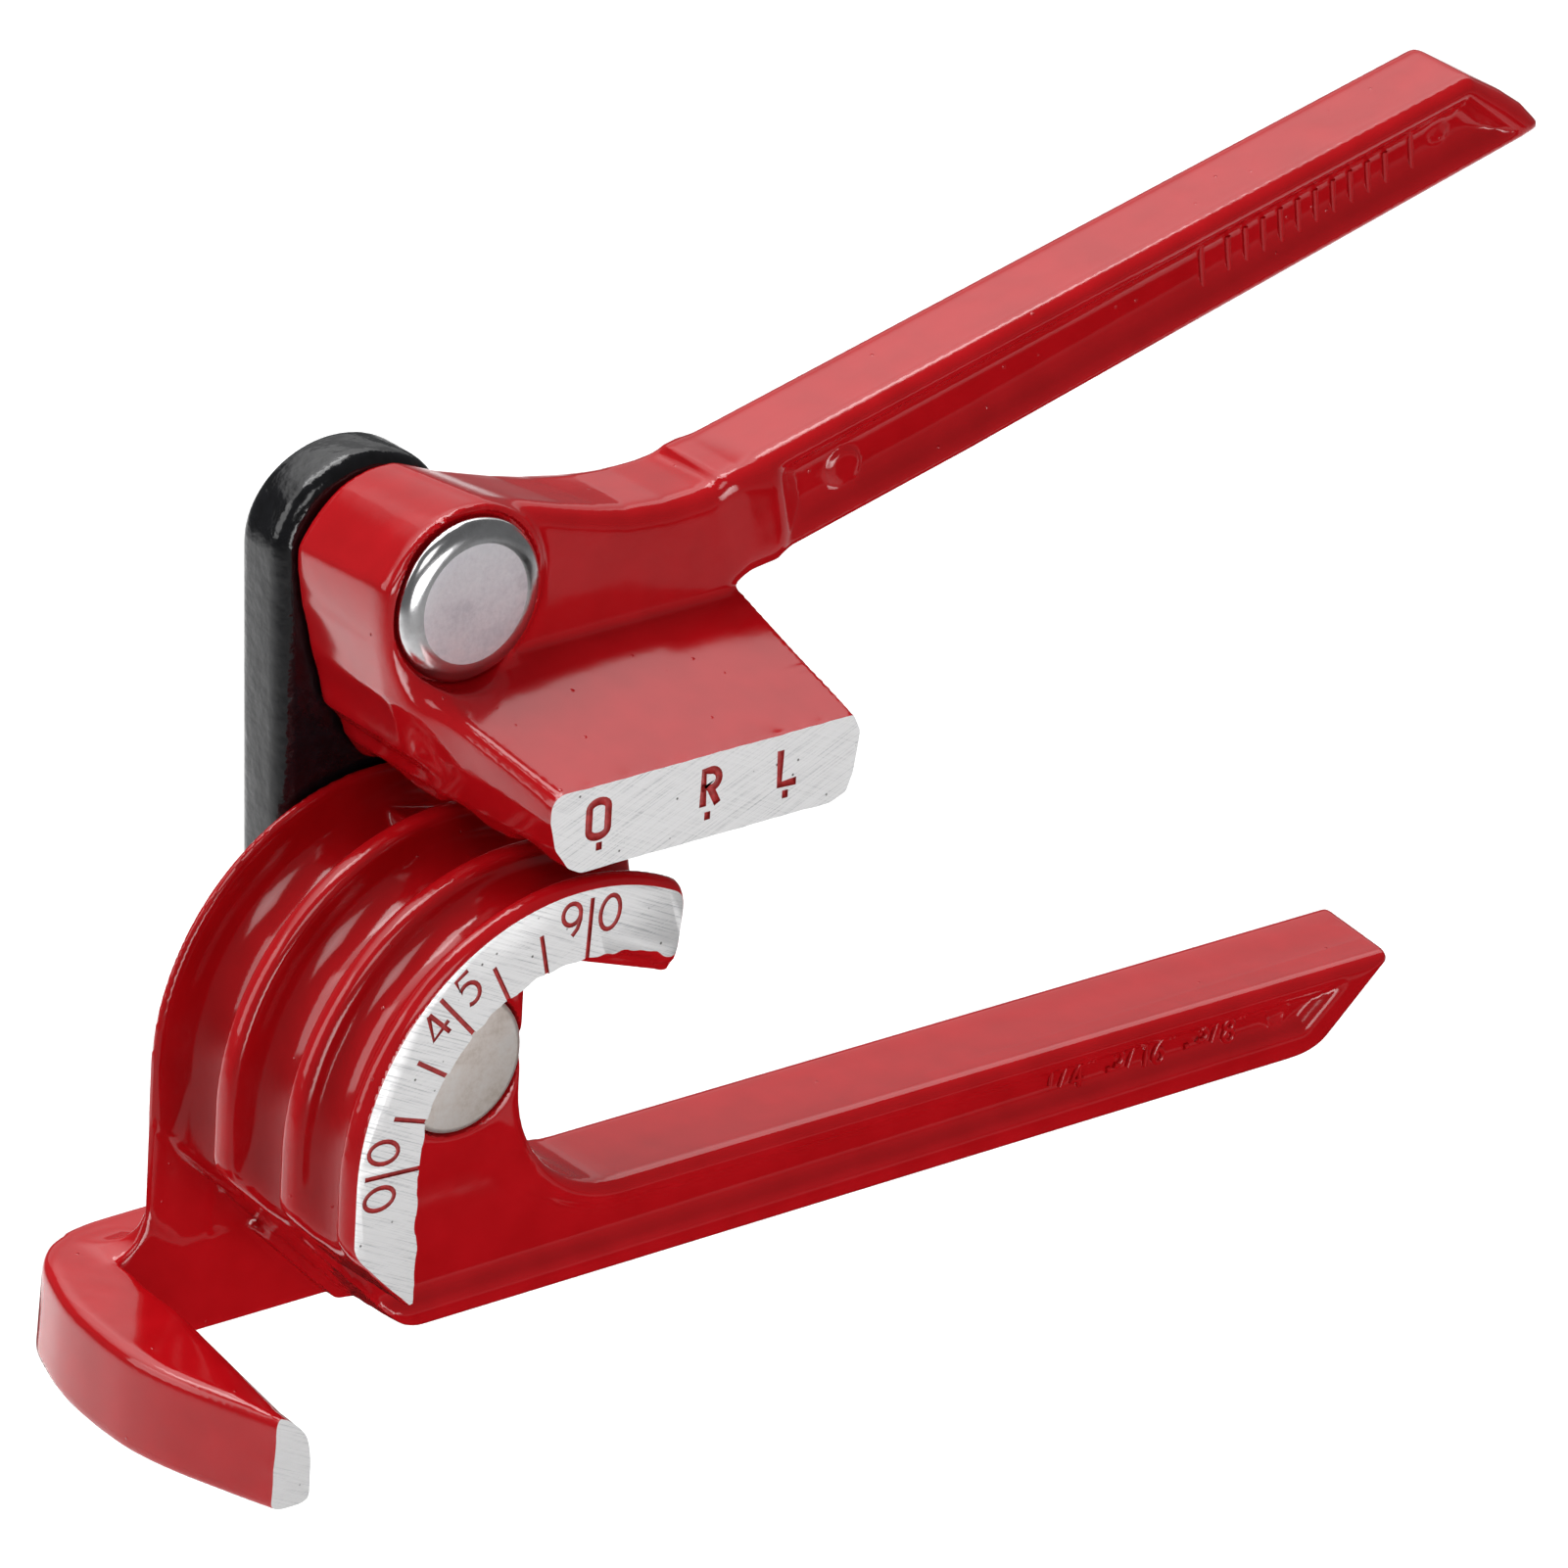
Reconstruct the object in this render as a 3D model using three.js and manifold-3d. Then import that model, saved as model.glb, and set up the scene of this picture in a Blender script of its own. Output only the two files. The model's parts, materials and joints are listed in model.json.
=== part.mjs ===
import * as THREE from 'three';
import { mergeVertices } from 'three/addons/utils/BufferGeometryUtils.js';
import Module from 'manifold-3d';

// A hand bender for three tube sizes, at rest where a right-angle bend ends.
// Millimetres. X runs along the lower handle, Y goes back along the pivots and Z is up.
// The outlines are drawn with Y counted from the ground scale face. The finished meshes are
// moved forward, so that the part's origin is the centre of the lower rivet's flush head.

// Tubes, from the front groove to the back one
const tubeDiameters = [6.35, 7.94, 9.53];
// Outer side of every seated tube, from the former's axis
const tubeLine = 29.3;
// Between pieces that slide or rest on each other
const runningGap = 0.3;
// How far a cut runs past the face that it opens
const overrun = 3;

// Former, the round half of the fixed casting
const crestRadius = 26.4;
const frontRim = 2.3;
const ridgeWidth = 2.75;
const backRim = 1.2;
const crestRounding = 0.5;
const ringBore = 18;
const hollowDepth = 17.3;
const formerEnd = 13;
const formerEndDraft = 0.9;
const gussetSetback = 1.2;
// The slanted cut under the former, where it crosses the X axis
const slantReach = 32.4;

// Web and lower handle of the fixed casting
const webEdge = 7.9;
const throatFillet = 13;
const lowerHandleTop = 17.9;
const lowerHandleHeight = 9.8;
const lowerHandleThickness = 12.7;
const lowerHandleReach = 118.8;
const lowerTipHeight = 9.2;
const lowerTipLean = 1.6;
const lowerTipRun = 9.8;
const undersideDraft = 2.3;
const rimWidth = 1.9;
const lowerRimHeight = 2.4;
const recessDepth = 1.2;
const recessWallRun = 1.2;
const padRadius = 9.2;

// Arm and hook that hold the tube's free end
const armTop = 19.1;
const armHeight = 10.9;
const armThickness = 8.8;
const armFillet = 4;
const hookClearance = 0.1;
const hookReach = 39.4;
const hookChamfer = 3.8;
const hookTopDrop = 2.2;
const hookBottomDrop = 1.8;
const hookRounding = 1;

// Link plate behind both castings
const pivotSpan = 50;
const linkLean = 2.67;
const linkHalfWidth = 10.1;
const linkEndReach = 8.8;
const linkThickness = 7.2;
const linkEdge = 1.9;

// Rivets
const shankRadius = 4.1;
const shankClearance = 0.25;
const flushHeadRadius = 7.3;
const flushHeadThickness = 2;
const domeRadius = 8.35;
const domeFlatRadius = 6.15;
const domeHeight = 1.3;
const domeRimWidth = 0.3;
const tailRadius = 6.2;
const tailThickness = 2;

// Moving casting
const shoeClearance = 1.1;
const shoeLength = 37.3;
const shoeLead = 4.3;
const shoeLipHeight = 8.7;
const shoeRootHeight = 15;
const shoeEndRounding = 3.3;
const upperHandleFront = 18;
const upperHandleThickness = 10.9;
const upperHandleWidth = 11.4;
const upperTipWidth = 9.8;
const upperHandleDraft = 0.7;
const upperHandleDrop = 3.1;
const upperHandleReach = 134.8;
const upperHandleTilt = 13.6;
const hubRadius = 9.4;
const hubDraft = 1.6;
const hubPadProud = 0.8;
const pocketDepth = 1.8;
const pocketStart = 38;
const pocketRim = 1.4;
const pocketWallRun = 1.6;

// Scale on the ground face: a mark every step, the longer ones with a number
const scaleTurn = 2.9;
const scaleStep = 15;
const scaleMarks = 7;
const longMark = 6.4;
const shortMark = 4.4;
const markWidth = 0.5;
const markDepth = 0.3;
const markInset = 0.15;

// Corners nearer to each other than this are one corner
const weldDistance = 0.0005;

// Segments that round shapes are divided into
const turnSegments = 72;
const grooveSegments = 8;
const filletSegments = 8;

const wasm = await Module();
wasm.setup();

const radians = THREE.MathUtils.degToRad;

// A closed mesh as a solid that can be joined and cut.
function solid(geometry) {
  const bare = geometry.clone();
  for (const name of Object.keys(bare.attributes)) {
    if (name !== 'position') bare.deleteAttribute(name);
  }
  const merged = mergeVertices(bare, weldDistance);
  const faces = [];
  for (let i = 0; i < merged.index.count; i += 3) {
    const [a, b, c] = [0, 1, 2].map((corner) => merged.index.getX(i + corner));
    if (a !== b && b !== c && c !== a) faces.push(a, b, c);
  }
  return new wasm.Manifold(new wasm.Mesh({
    numProp: 3,
    vertProperties: new Float32Array(merged.attributes.position.array),
    triVerts: new Uint32Array(faces),
  }));
}

function join(...solids) {
  return solids.reduce((whole, piece) => whole.add(piece));
}

function cut(whole, ...solids) {
  return solids.reduce((rest, piece) => rest.subtract(piece), whole);
}

// A solid that runs through outlines of equal length, each drawn at its own depth.
// An outline lists [x, z] points; the solid runs from the front outline to the back one.
function loft(sections) {
  const count = sections[0].outline.length;
  const first = sections[0].outline.map(([x, z]) => new THREE.Vector2(x, z));
  const clockwise = THREE.ShapeUtils.isClockWise(first);
  const rings = sections.map(({ depth, outline }) => {
    const ordered = clockwise ? [...outline].reverse() : outline;
    return ordered.map(([x, z]) => [x, depth, z]);
  });
  const faces = [];
  for (let ring = 0; ring + 1 < rings.length; ring += 1) {
    for (let i = 0; i < count; i += 1) {
      const next = (i + 1) % count;
      const [a, b] = [ring * count + i, ring * count + next];
      faces.push(a, b + count, b, a, a + count, b + count);
    }
  }
  const capOf = (ring) => THREE.ShapeUtils.triangulateShape(
    ring.map(([x, , z]) => new THREE.Vector2(x, z)), []);
  const last = (rings.length - 1) * count;
  for (const [a, b, c] of capOf(rings[0])) faces.push(a, b, c);
  for (const [a, b, c] of capOf(rings[rings.length - 1])) faces.push(last + a, last + c, last + b);
  const geometry = new THREE.BufferGeometry();
  geometry.setAttribute('position', new THREE.Float32BufferAttribute(rings.flat(2), 3));
  geometry.setIndex(faces);
  return solid(geometry);
}

// A straight block with an [x, z] outline, from one depth to another.
function plate(outline, front, back) {
  return loft([{ depth: front, outline }, { depth: back, outline }]);
}

// A turned solid about a pivot, from a closed profile of [radius, y] points.
function turned(profile, centre = { x: 0, z: 0 }, segments = turnSegments) {
  const points = profile.map(([radius, y]) => new THREE.Vector2(radius, y));
  const geometry = new THREE.LatheGeometry([...points, points[0]], segments);
  geometry.translate(centre.x, 0, centre.z);
  const whole = solid(geometry);
  return whole.volume() < 0 ? solid(flipped(geometry)) : whole;
}

function flipped(geometry) {
  const turnedOver = geometry.clone();
  const index = turnedOver.index;
  for (let i = 0; i < index.count; i += 3) {
    const kept = index.getX(i);
    index.setX(i, index.getX(i + 1));
    index.setX(i + 1, kept);
  }
  return turnedOver;
}

function disc(radius, front, back, centre, segments) {
  return turned([[0, front], [radius, front], [radius, back], [0, back]], centre, segments);
}

// Points along an arc, both ends included, with angles in degrees from +X towards +Z.
function arc(x, z, radius, from, to, segments = filletSegments) {
  return Array.from({ length: segments + 1 }, (_, i) => {
    const angle = radians(from + ((to - from) * i) / segments);
    return [x + radius * Math.cos(angle), z + radius * Math.sin(angle)];
  });
}

// An outline moved inwards, or outwards where the distance is negative.
function inset(outline, distance) {
  const points = outline.map(([x, z]) => new THREE.Vector2(x, z));
  const side = THREE.ShapeUtils.isClockWise(points) ? -1 : 1;
  return points.map((point, i) => {
    const before = points[(i + points.length - 1) % points.length];
    const after = points[(i + 1) % points.length];
    const entering = point.clone().sub(before).normalize();
    const leaving = after.clone().sub(point).normalize();
    const normal = new THREE.Vector2(-entering.y - leaving.y, entering.x + leaving.x).normalize();
    const spread = Math.max(normal.dot(new THREE.Vector2(-entering.y, entering.x)), 1 / 3);
    const moved = point.clone().addScaledVector(normal, (side * distance) / spread);
    return [moved.x, moved.y];
  });
}

// Grooves of the former, front to back
const grooves = [];
for (const diameter of tubeDiameters) {
  const front = grooves.length ? grooves[grooves.length - 1].back + ridgeWidth : frontRim;
  grooves.push({ radius: diameter / 2, front, back: front + diameter, middle: front + diameter / 2 });
}
const armFront = grooves[grooves.length - 1].back;
const formerBack = armFront + backRim;
const webBack = hollowDepth + lowerHandleThickness;
const armBack = armFront + armThickness;
const linkFront = formerBack + runningGap;
const linkBack = linkFront + linkThickness;
const rivetHole = shankRadius + shankClearance;
const upperPivot = {
  x: -pivotSpan * Math.sin(radians(linkLean)),
  z: pivotSpan * Math.cos(radians(linkLean)),
};
const shoeFace = crestRadius + shoeClearance;
const hookInner = tubeLine + hookClearance;
const lowerHandleBottom = lowerHandleTop + lowerHandleHeight;
const armBottom = armTop + armHeight;
const farSide = lowerHandleReach + upperHandleReach;

// Outer edge of the former in [radius, y]: U-shaped grooves between rounded crests.
function formerProfile(innerRadius, from) {
  const profile = [[innerRadius, from], [crestRadius - crestRounding, from]];
  if (from > 0) profile.pop();
  else profile.push([crestRadius, crestRounding]);
  for (const { radius, front, back, middle } of grooves) {
    if (back <= from) continue;
    const axis = tubeLine - radius;
    profile.push([crestRadius, front - crestRounding], [crestRadius - crestRounding, front]);
    profile.push([Math.min(axis, crestRadius - 2 * crestRounding), front]);
    for (let i = 1; i < grooveSegments; i += 1) {
      const angle = (Math.PI * i) / grooveSegments;
      const r = Math.min(axis - radius * Math.sin(angle), crestRadius - 2 * crestRounding);
      profile.push([r, middle - radius * Math.cos(angle)]);
    }
    profile.push([Math.min(axis, crestRadius - 2 * crestRounding), back]);
    profile.push([crestRadius - crestRounding, back], [crestRadius, back + crestRounding]);
  }
  profile.push([crestRadius, formerBack], [innerRadius, formerBack]);
  return profile;
}

// The former: half a turn and a bit, with a straight leg under its start.
function formerSolid() {
  const endFoot = formerEnd - formerEndDraft;
  const endFootHeight = Math.sqrt(ringBore ** 2 - endFoot ** 2);
  const endTop = Math.sqrt(crestRadius ** 2 - formerEnd ** 2);
  const ring = turned(formerProfile(ringBore, 0));
  const upperHalf = plate([
    [-crestRadius - overrun, 0], [formerEnd, 0], [formerEnd - formerEndDraft, endFootHeight],
    [formerEnd, endTop - crestRounding], [formerEnd - crestRounding, endTop + crestRounding],
    [formerEnd - crestRounding, crestRadius + overrun], [-crestRadius - overrun, crestRadius + overrun],
  ], -overrun, formerBack + overrun);
  const arch = ring.intersect(upperHalf);
  const legShape = formerProfile(ringBore, 0).map(([radius, y]) => new THREE.Vector2(-radius, y));
  const legGeometry = new THREE.ExtrudeGeometry(new THREE.Shape(legShape), {
    depth: slantReach,
    bevelEnabled: false,
  });
  legGeometry.translate(0, 0, -slantReach);
  const gusset = plate([
    [-gussetSetback, ringBore], [endFoot, endFootHeight], [endFoot, ringBore], [0, ringBore + overrun],
  ], gussetSetback, formerBack);
  return join(arch, solid(legGeometry), gusset);
}

// Web inside the former and the lower handle that grows out of it.
function handleOutline(reach) {
  const top = -lowerHandleTop;
  const bottom = -lowerHandleBottom - undersideDraft;
  const corner = throatFillet;
  const nose = rimWidth / 2;
  return [
    [-ringBore - crestRounding, bottom],
    [reach - lowerTipRun - undersideDraft, bottom],
    [reach, top - nose],
    [reach - nose / 2, top],
    ...arc(webEdge + corner, top + corner, corner, 270, 180),
    [webEdge, overrun],
    [-ringBore - crestRounding, overrun],
  ];
}

function webSolid() {
  return loft([
    { depth: hollowDepth, outline: handleOutline(lowerHandleReach) },
    { depth: webBack, outline: handleOutline(lowerHandleReach + lowerTipLean) },
  ]);
}

// Solid middle of the former behind the hollow, up to the web's right edge.
function webCore() {
  const reach = ringBore + overrun / 2;
  const half = plate([[-reach, 0], [webEdge, 0], [webEdge, reach], [-reach, reach]], hollowDepth, formerBack);
  return half.intersect(disc(reach, hollowDepth, formerBack));
}

// Part of the web behind the handle, flush with the former's back.
function backPlate() {
  const left = -ringBore - crestRounding;
  const outline = [[left, -armBottom], [webEdge, -armBottom], [webEdge, overrun], [left, overrun]];
  return plate(outline, webBack - overrun, formerBack);
}

// Arm across the back, and the fillet where the former's back rim runs into it.
function armSolid() {
  const slopeEnd = webEdge + armThickness * 2;
  const plan = [
    [-hookInner, armFront], [slopeEnd, webBack - overrun], [slopeEnd, webBack], [webEdge, armBack],
    [-hookInner * 0.92, armBack], [-hookReach * 0.78, armBack - armThickness * 0.08],
    [-hookReach * 0.88, armBack - armThickness * 0.32], [-hookReach * 0.93, armFront + armThickness * 0.2],
    [-hookReach * 0.95, armFront],
  ];
  const shape = new THREE.Shape(plan.map(([x, y]) => new THREE.Vector2(x, y)));
  const geometry = new THREE.ExtrudeGeometry(shape, { depth: armHeight, bevelEnabled: false });
  geometry.translate(0, 0, -armBottom);
  const arm = solid(geometry);
  const fillet = plate([
    [-crestRadius + overrun, -armTop - armFillet], [-crestRadius + overrun, -armTop + armFillet],
    ...arc(-crestRadius - armFillet, -armTop + armFillet, armFillet, 0, -90),
    [-crestRadius - armFillet, -armTop - armFillet],
  ], armFront, formerBack);
  return join(arm, fillet);
}

// Finger of the hook: depth and outer reach along it, as shares of the arm's front and the reach
const fingerDepthShares = [0, 0.19, 0.38, 0.54, 0.7, 0.82, 0.95, 1.08];
const fingerReachShares = [0.855, 0.91, 0.964, 0.99, 1, 0.992, 0.964, 0.92];

function fingerSection(depth, reach) {
  const top = -armTop - hookTopDrop * (1 - depth / armBack);
  const bottom = -armBottom - hookBottomDrop * Math.max(1 - depth / armFront, 0);
  return [
    [-reach + hookRounding, bottom], [-hookInner - hookRounding, bottom],
    [-hookInner - hookRounding / 3, bottom + hookRounding], [-hookInner, bottom + armHeight / 2],
    [-hookInner, top - hookChamfer], [-hookInner - hookChamfer / 3, top - hookChamfer / 2],
    [-hookInner - hookChamfer, top], [-reach, top], [-reach, bottom + hookRounding],
  ];
}

function fingerSolid() {
  return loft(fingerDepthShares.map((share, i) => ({
    depth: armFront * share,
    outline: fingerSection(armFront * share, hookReach * fingerReachShares[i]),
  })));
}

// Shallow recess in the front of the web and the lower handle, with a sloping wall.
function lowerRecess() {
  const top = -lowerHandleTop - rimWidth;
  const bottom = -lowerHandleBottom + lowerRimHeight;
  const corner = throatFillet + rimWidth;
  const padEdge = -padRadius;
  const mouth = [
    [-slantReach - bottom - overrun, bottom],
    [lowerHandleReach - lowerTipRun - rimWidth / 2, bottom],
    [lowerHandleReach - rimWidth * 1.9, top],
    ...arc(webEdge + throatFillet, -lowerHandleTop + throatFillet, corner, 270, 205),
    [webEdge * 0.55, padEdge], [-ringBore, padEdge],
  ];
  return loft([
    { depth: hollowDepth - recessDepth, outline: inset(mouth, -recessWallRun) },
    { depth: hollowDepth + recessDepth, outline: inset(mouth, recessWallRun) },
  ]);
}

// Marks cut into the ground face, every step round the ring.
function scaleCuts() {
  return Array.from({ length: scaleMarks }, (_, i) => {
    const length = i % 3 === 0 ? longMark : shortMark;
    const start = ringBore + markInset;
    const mark = new THREE.BoxGeometry(length, 2 * markDepth, markWidth);
    mark.translate(-start - length / 2, 0, 0);
    mark.rotateY(radians(scaleTurn + scaleStep * i));
    return solid(mark);
  });
}

// Space under the casting: the underside drops towards the back and rises towards the tip.
function underCut() {
  const rise = (lowerHandleHeight - lowerTipHeight) / (lowerHandleReach - webEdge);
  const section = (depth) => {
    const fall = (undersideDraft * (Math.min(depth, armFront) - hollowDepth)) / (armFront - hollowDepth);
    const level = -lowerHandleBottom - fall;
    const outline = [
      [-farSide, -farSide], [farSide, -farSide], [farSide, level + rise * farSide],
      [webEdge, level], [-farSide, level],
    ];
    return { depth, outline };
  };
  return loft([section(-overrun), section(armFront), section(armBack + overrun)]);
}

function fixedCasting() {
  const slant = plate([
    [-farSide, -farSide], [farSide - slantReach, -farSide], [-farSide, farSide - slantReach],
  ], -overrun, armFront);
  const throat = plate([
    [webEdge, overrun], [farSide, overrun], [farSide, ringBore / 4], [formerEnd + overrun, ringBore * 0.6],
    [formerEnd - formerEndDraft, Math.sqrt(ringBore ** 2 - (formerEnd - formerEndDraft) ** 2)],
    [webEdge, ringBore * 0.82],
  ], hollowDepth - overrun, formerBack + overrun);
  const body = cut(join(cut(join(formerSolid(), webCore()), throat), backPlate(), webSolid()), slant);
  return cut(
    join(cut(join(body, armSolid()), underCut()), fingerSolid()),
    lowerRecess(),
    disc(rivetHole, -overrun, formerBack + overrun),
    disc(flushHeadRadius + shankClearance, -overrun, hollowDepth + flushHeadThickness + runningGap),
    ...scaleCuts(),
  );
}

// A point of the moving casting given from its pivot, along and across its tilted handle.
function alongHandle(along, across) {
  const [c, s] = [Math.cos(radians(upperHandleTilt)), Math.sin(radians(upperHandleTilt))];
  return [upperPivot.x + along * c - across * s, upperPivot.z + along * s + across * c];
}

// Shoe that presses the tube: its left end leans back towards the hub.
function shoeSolid() {
  const left = -shoeLead;
  const right = shoeLength - shoeLead;
  const bottom = shoeFace;
  const end = shoeEndRounding;
  const heel = [
    [right - end, bottom], [right - end * 0.42, bottom + end * 0.2],
    [right - end * 0.18, bottom + end * 0.76],
  ];
  const root = [
    [left * 0.35, bottom], ...heel, [right - end * 0.1, bottom + shoeRootHeight * 0.6],
    [right - end * 0.4, bottom + shoeRootHeight], [left * 2.05, bottom + shoeRootHeight],
    [left * 1.6, bottom + shoeRootHeight * 0.55], [left * 1.1, bottom + shoeRootHeight * 0.2],
    [left * 0.7, bottom + shoeRootHeight * 0.05],
  ];
  const lip = [
    [left * 0.1, bottom], ...heel, [right, bottom + shoeLipHeight * 0.8],
    [right - end * 0.27, bottom + shoeLipHeight], [left * 0.85, bottom + shoeLipHeight],
    [left, bottom + shoeLipHeight * 0.7], [left * 0.8, bottom + shoeLipHeight * 0.35],
    [left * 0.45, bottom + shoeLipHeight * 0.1],
  ];
  const block = loft([
    { depth: 0, outline: lip },
    { depth: upperHandleFront, outline: root },
    { depth: formerBack, outline: root },
  ]);
  const channels = grooves.map(({ radius, middle }) => {
    const channel = new THREE.CylinderGeometry(radius, radius, shoeLength * 2, turnSegments / 2);
    channel.rotateZ(Math.PI / 2);
    channel.translate(right - shoeLength / 2, middle, tubeLine - radius);
    return solid(channel);
  });
  return cut(block, ...channels);
}

// Hub around the upper rivet, narrowing towards the back.
function hubSolid() {
  const front = upperHandleFront - hubPadProud;
  return turned([
    [0, front], [hubRadius, front], [hubRadius - hubDraft, formerBack], [0, formerBack],
  ], upperPivot);
}

// Places round the moving web as shares of the hub's radius, from its pivot: in front, at the
// handle's back face and at the casting's back
const webFrontShares = [
  [-0.5, -1.6], [3.4, -1.6], [3.62, -0.82], [3.83, -0.67], [4.13, -0.575], [4.6, 0.3],
  [3.6, 0.53], [3.1, 0.44], [2.68, 0.41], [2.17, 0.45], [1.83, 0.52], [1.4, 0.64],
  [0.98, 0.77], [0.25, 0.965], [-0.94, 0.3], [-0.88, -0.3], [-0.72, -0.9],
];
const webNeckShares = [
  [-0.46, -1.6], [3.4, -1.6], [3.6, -0.85], [3.8, -0.7], [4.1, -0.6], [4.5, 0.2],
  [3.62, 0.44], [3.2, 0.36], [2.75, 0.34], [2.3, 0.37], [1.8, 0.43], [1.39, 0.51],
  [0.78, 0.69], [0.21, 0.86], [-0.84, 0.155], [-0.78, -0.41], [-0.635, -0.97],
];
const webBackShares = [
  [-0.45, -1.6], [3.4, -1.6], [3.5, -1.1], [3.25, -0.85], [3, -0.6], [2.8, -0.3],
  [2.66, -0.05], [2.5, 0.08], [2.3, 0.18], [2.07, 0.26], [1.75, 0.34], [1.39, 0.45],
  [0.71, 0.665], [0.2, 0.82], [-0.8, 0.1], [-0.74, -0.45], [-0.6, -1],
];

function hubWebSolid() {
  const place = (shares) => shares.map(
    ([x, z]) => [upperPivot.x + x * hubRadius, upperPivot.z + z * hubRadius]);
  return loft([
    { depth: upperHandleFront, outline: place(webFrontShares) },
    { depth: upperHandleFront + upperHandleThickness, outline: place(webNeckShares) },
    { depth: formerBack, outline: place(webBackShares) },
  ]);
}

function upperHandleOutline(draft) {
  const top = -upperHandleDrop - draft;
  const bottom = -upperHandleDrop - upperHandleWidth;
  const tipBottom = -upperHandleDrop - upperTipWidth;
  const reach = upperHandleReach - draft;
  const start = pocketStart - upperHandleWidth / 2;
  return [
    alongHandle(start, bottom * 0.9), alongHandle(pocketStart - pocketRim, bottom),
    alongHandle(pocketStart * 1.6, bottom),
    alongHandle(reach - pocketRim * 2, tipBottom),
    alongHandle(reach - pocketRim / 3, tipBottom + pocketRim / 6),
    alongHandle(reach - pocketRim / 6, tipBottom + pocketRim * 0.8),
    alongHandle(reach - upperTipWidth * 0.17, tipBottom + upperTipWidth * 0.35),
    alongHandle(reach - upperTipWidth * 0.8, top), alongHandle(start, top),
  ];
}

// Long pocket in the front of the upper handle.
function upperPocket() {
  const top = -upperHandleDrop - pocketRim;
  const bottom = -upperHandleDrop - upperHandleWidth + pocketRim;
  const tipBottom = -upperHandleDrop - upperTipWidth + pocketRim;
  const reach = upperHandleReach - pocketRim * 2;
  const start = pocketStart;
  const mouth = [
    alongHandle(start, bottom), alongHandle(start * 1.6, bottom), alongHandle(reach, tipBottom),
    alongHandle(reach - upperTipWidth * 0.6, top), alongHandle(start, top),
  ];
  return loft([
    { depth: upperHandleFront - pocketDepth / 2, outline: inset(mouth, -pocketWallRun / 2) },
    { depth: upperHandleFront + pocketDepth, outline: inset(mouth, pocketWallRun) },
  ]);
}

function movingCasting() {
  const handle = loft([
    { depth: upperHandleFront, outline: upperHandleOutline(0) },
    { depth: upperHandleFront + upperHandleThickness, outline: upperHandleOutline(upperHandleDraft) },
  ]);
  return cut(
    join(shoeSolid(), hubSolid(), hubWebSolid(), handle),
    upperPocket(),
    disc(rivetHole, -overrun, formerBack + overrun, upperPivot),
    disc(domeRadius + runningGap, 0, upperHandleFront - hubPadProud, upperPivot),
  );
}

// Link with slightly flattened round ends and softened edges, drilled for both rivets.
function linkPlate() {
  const [c, s] = [Math.cos(radians(linkLean)), Math.sin(radians(linkLean))];
  const end = (centre, from, inwards) => {
    const halfTurn = arc(0, 0, 1, from, from + 180, turnSegments / 4);
    return halfTurn.map(([acrossShare, riseShare]) => {
      const across = acrossShare * (linkHalfWidth - inwards);
      const rise = riseShare * (linkEndReach - inwards);
      return [centre.x + across * c - rise * s, centre.z + across * s + rise * c];
    });
  };
  const outlineAt = (inwards) => [...end({ x: 0, z: 0 }, 180, inwards), ...end(upperPivot, 0, inwards)];
  const shoulder = linkEdge * (1 - Math.SQRT1_2);
  const steps = [[0, linkEdge], [shoulder, shoulder], [linkEdge, 0]];
  const sections = [
    ...steps.map(([depth, inwards]) => ({ depth: linkFront + depth, outline: outlineAt(inwards) })),
    ...steps.reverse().map(([depth, inwards]) => ({ depth: linkBack - depth, outline: outlineAt(inwards) })),
  ];
  return cut(
    loft(sections),
    disc(rivetHole, formerBack, linkBack + overrun),
    disc(rivetHole, formerBack, linkBack + overrun, upperPivot),
  );
}

// Peened tail of a rivet, behind the link.
function tailProfile() {
  const front = linkBack + runningGap;
  return [
    [shankRadius, front], [tailRadius, front], [tailRadius, front + tailThickness / 3],
    [tailRadius * 0.8, front + tailThickness * 0.85], [tailRadius * 0.4, front + tailThickness],
    [0, front + tailThickness],
  ];
}

function lowerRivet() {
  const underHead = hollowDepth + flushHeadThickness;
  return turned([
    [0, hollowDepth], [flushHeadRadius, hollowDepth], [flushHeadRadius, underHead], [shankRadius, underHead],
    ...tailProfile(),
  ]);
}

function upperRivet() {
  const underHead = upperHandleFront - hubPadProud - runningGap;
  const widest = underHead - domeRimWidth;
  const bulge = domeRadius - domeFlatRadius;
  return turned([
    [0, widest - domeHeight], [domeFlatRadius, widest - domeHeight],
    [domeRadius - bulge * 0.5, widest - domeHeight * 0.8],
    [domeRadius - bulge * 0.15, widest - domeHeight * 0.4],
    [domeRadius, widest], [domeRadius - domeRimWidth, underHead], [shankRadius, underHead],
    ...tailProfile(),
  ], upperPivot);
}

function geometryOf(manifold) {
  const { vertProperties, triVerts } = manifold.getMesh();
  const geometry = new THREE.BufferGeometry();
  geometry.setAttribute('position', new THREE.Float32BufferAttribute(vertProperties, 3));
  geometry.setIndex(new THREE.Uint32BufferAttribute(triVerts, 1));
  geometry.computeVertexNormals();
  return geometry;
}

const redEnamel = { color: 0xb3141b, roughness: 0.25, metalness: 0 };
const blackPaint = { color: 0x15171a, roughness: 0.45, metalness: 0 };
const brightSteel = { color: 0xb9b7b2, roughness: 0.35, metalness: 1 };
const dullSteel = { color: 0x8f8780, roughness: 0.6, metalness: 1 };

const pieces = {
  former_and_lower_handle: [fixedCasting(), redEnamel],
  shoe_and_upper_handle: [movingCasting(), redEnamel],
  link_plate: [linkPlate(), blackPaint],
  upper_pivot_rivet: [upperRivet(), brightSteel],
  lower_pivot_rivet: [lowerRivet(), dullSteel],
};

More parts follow.
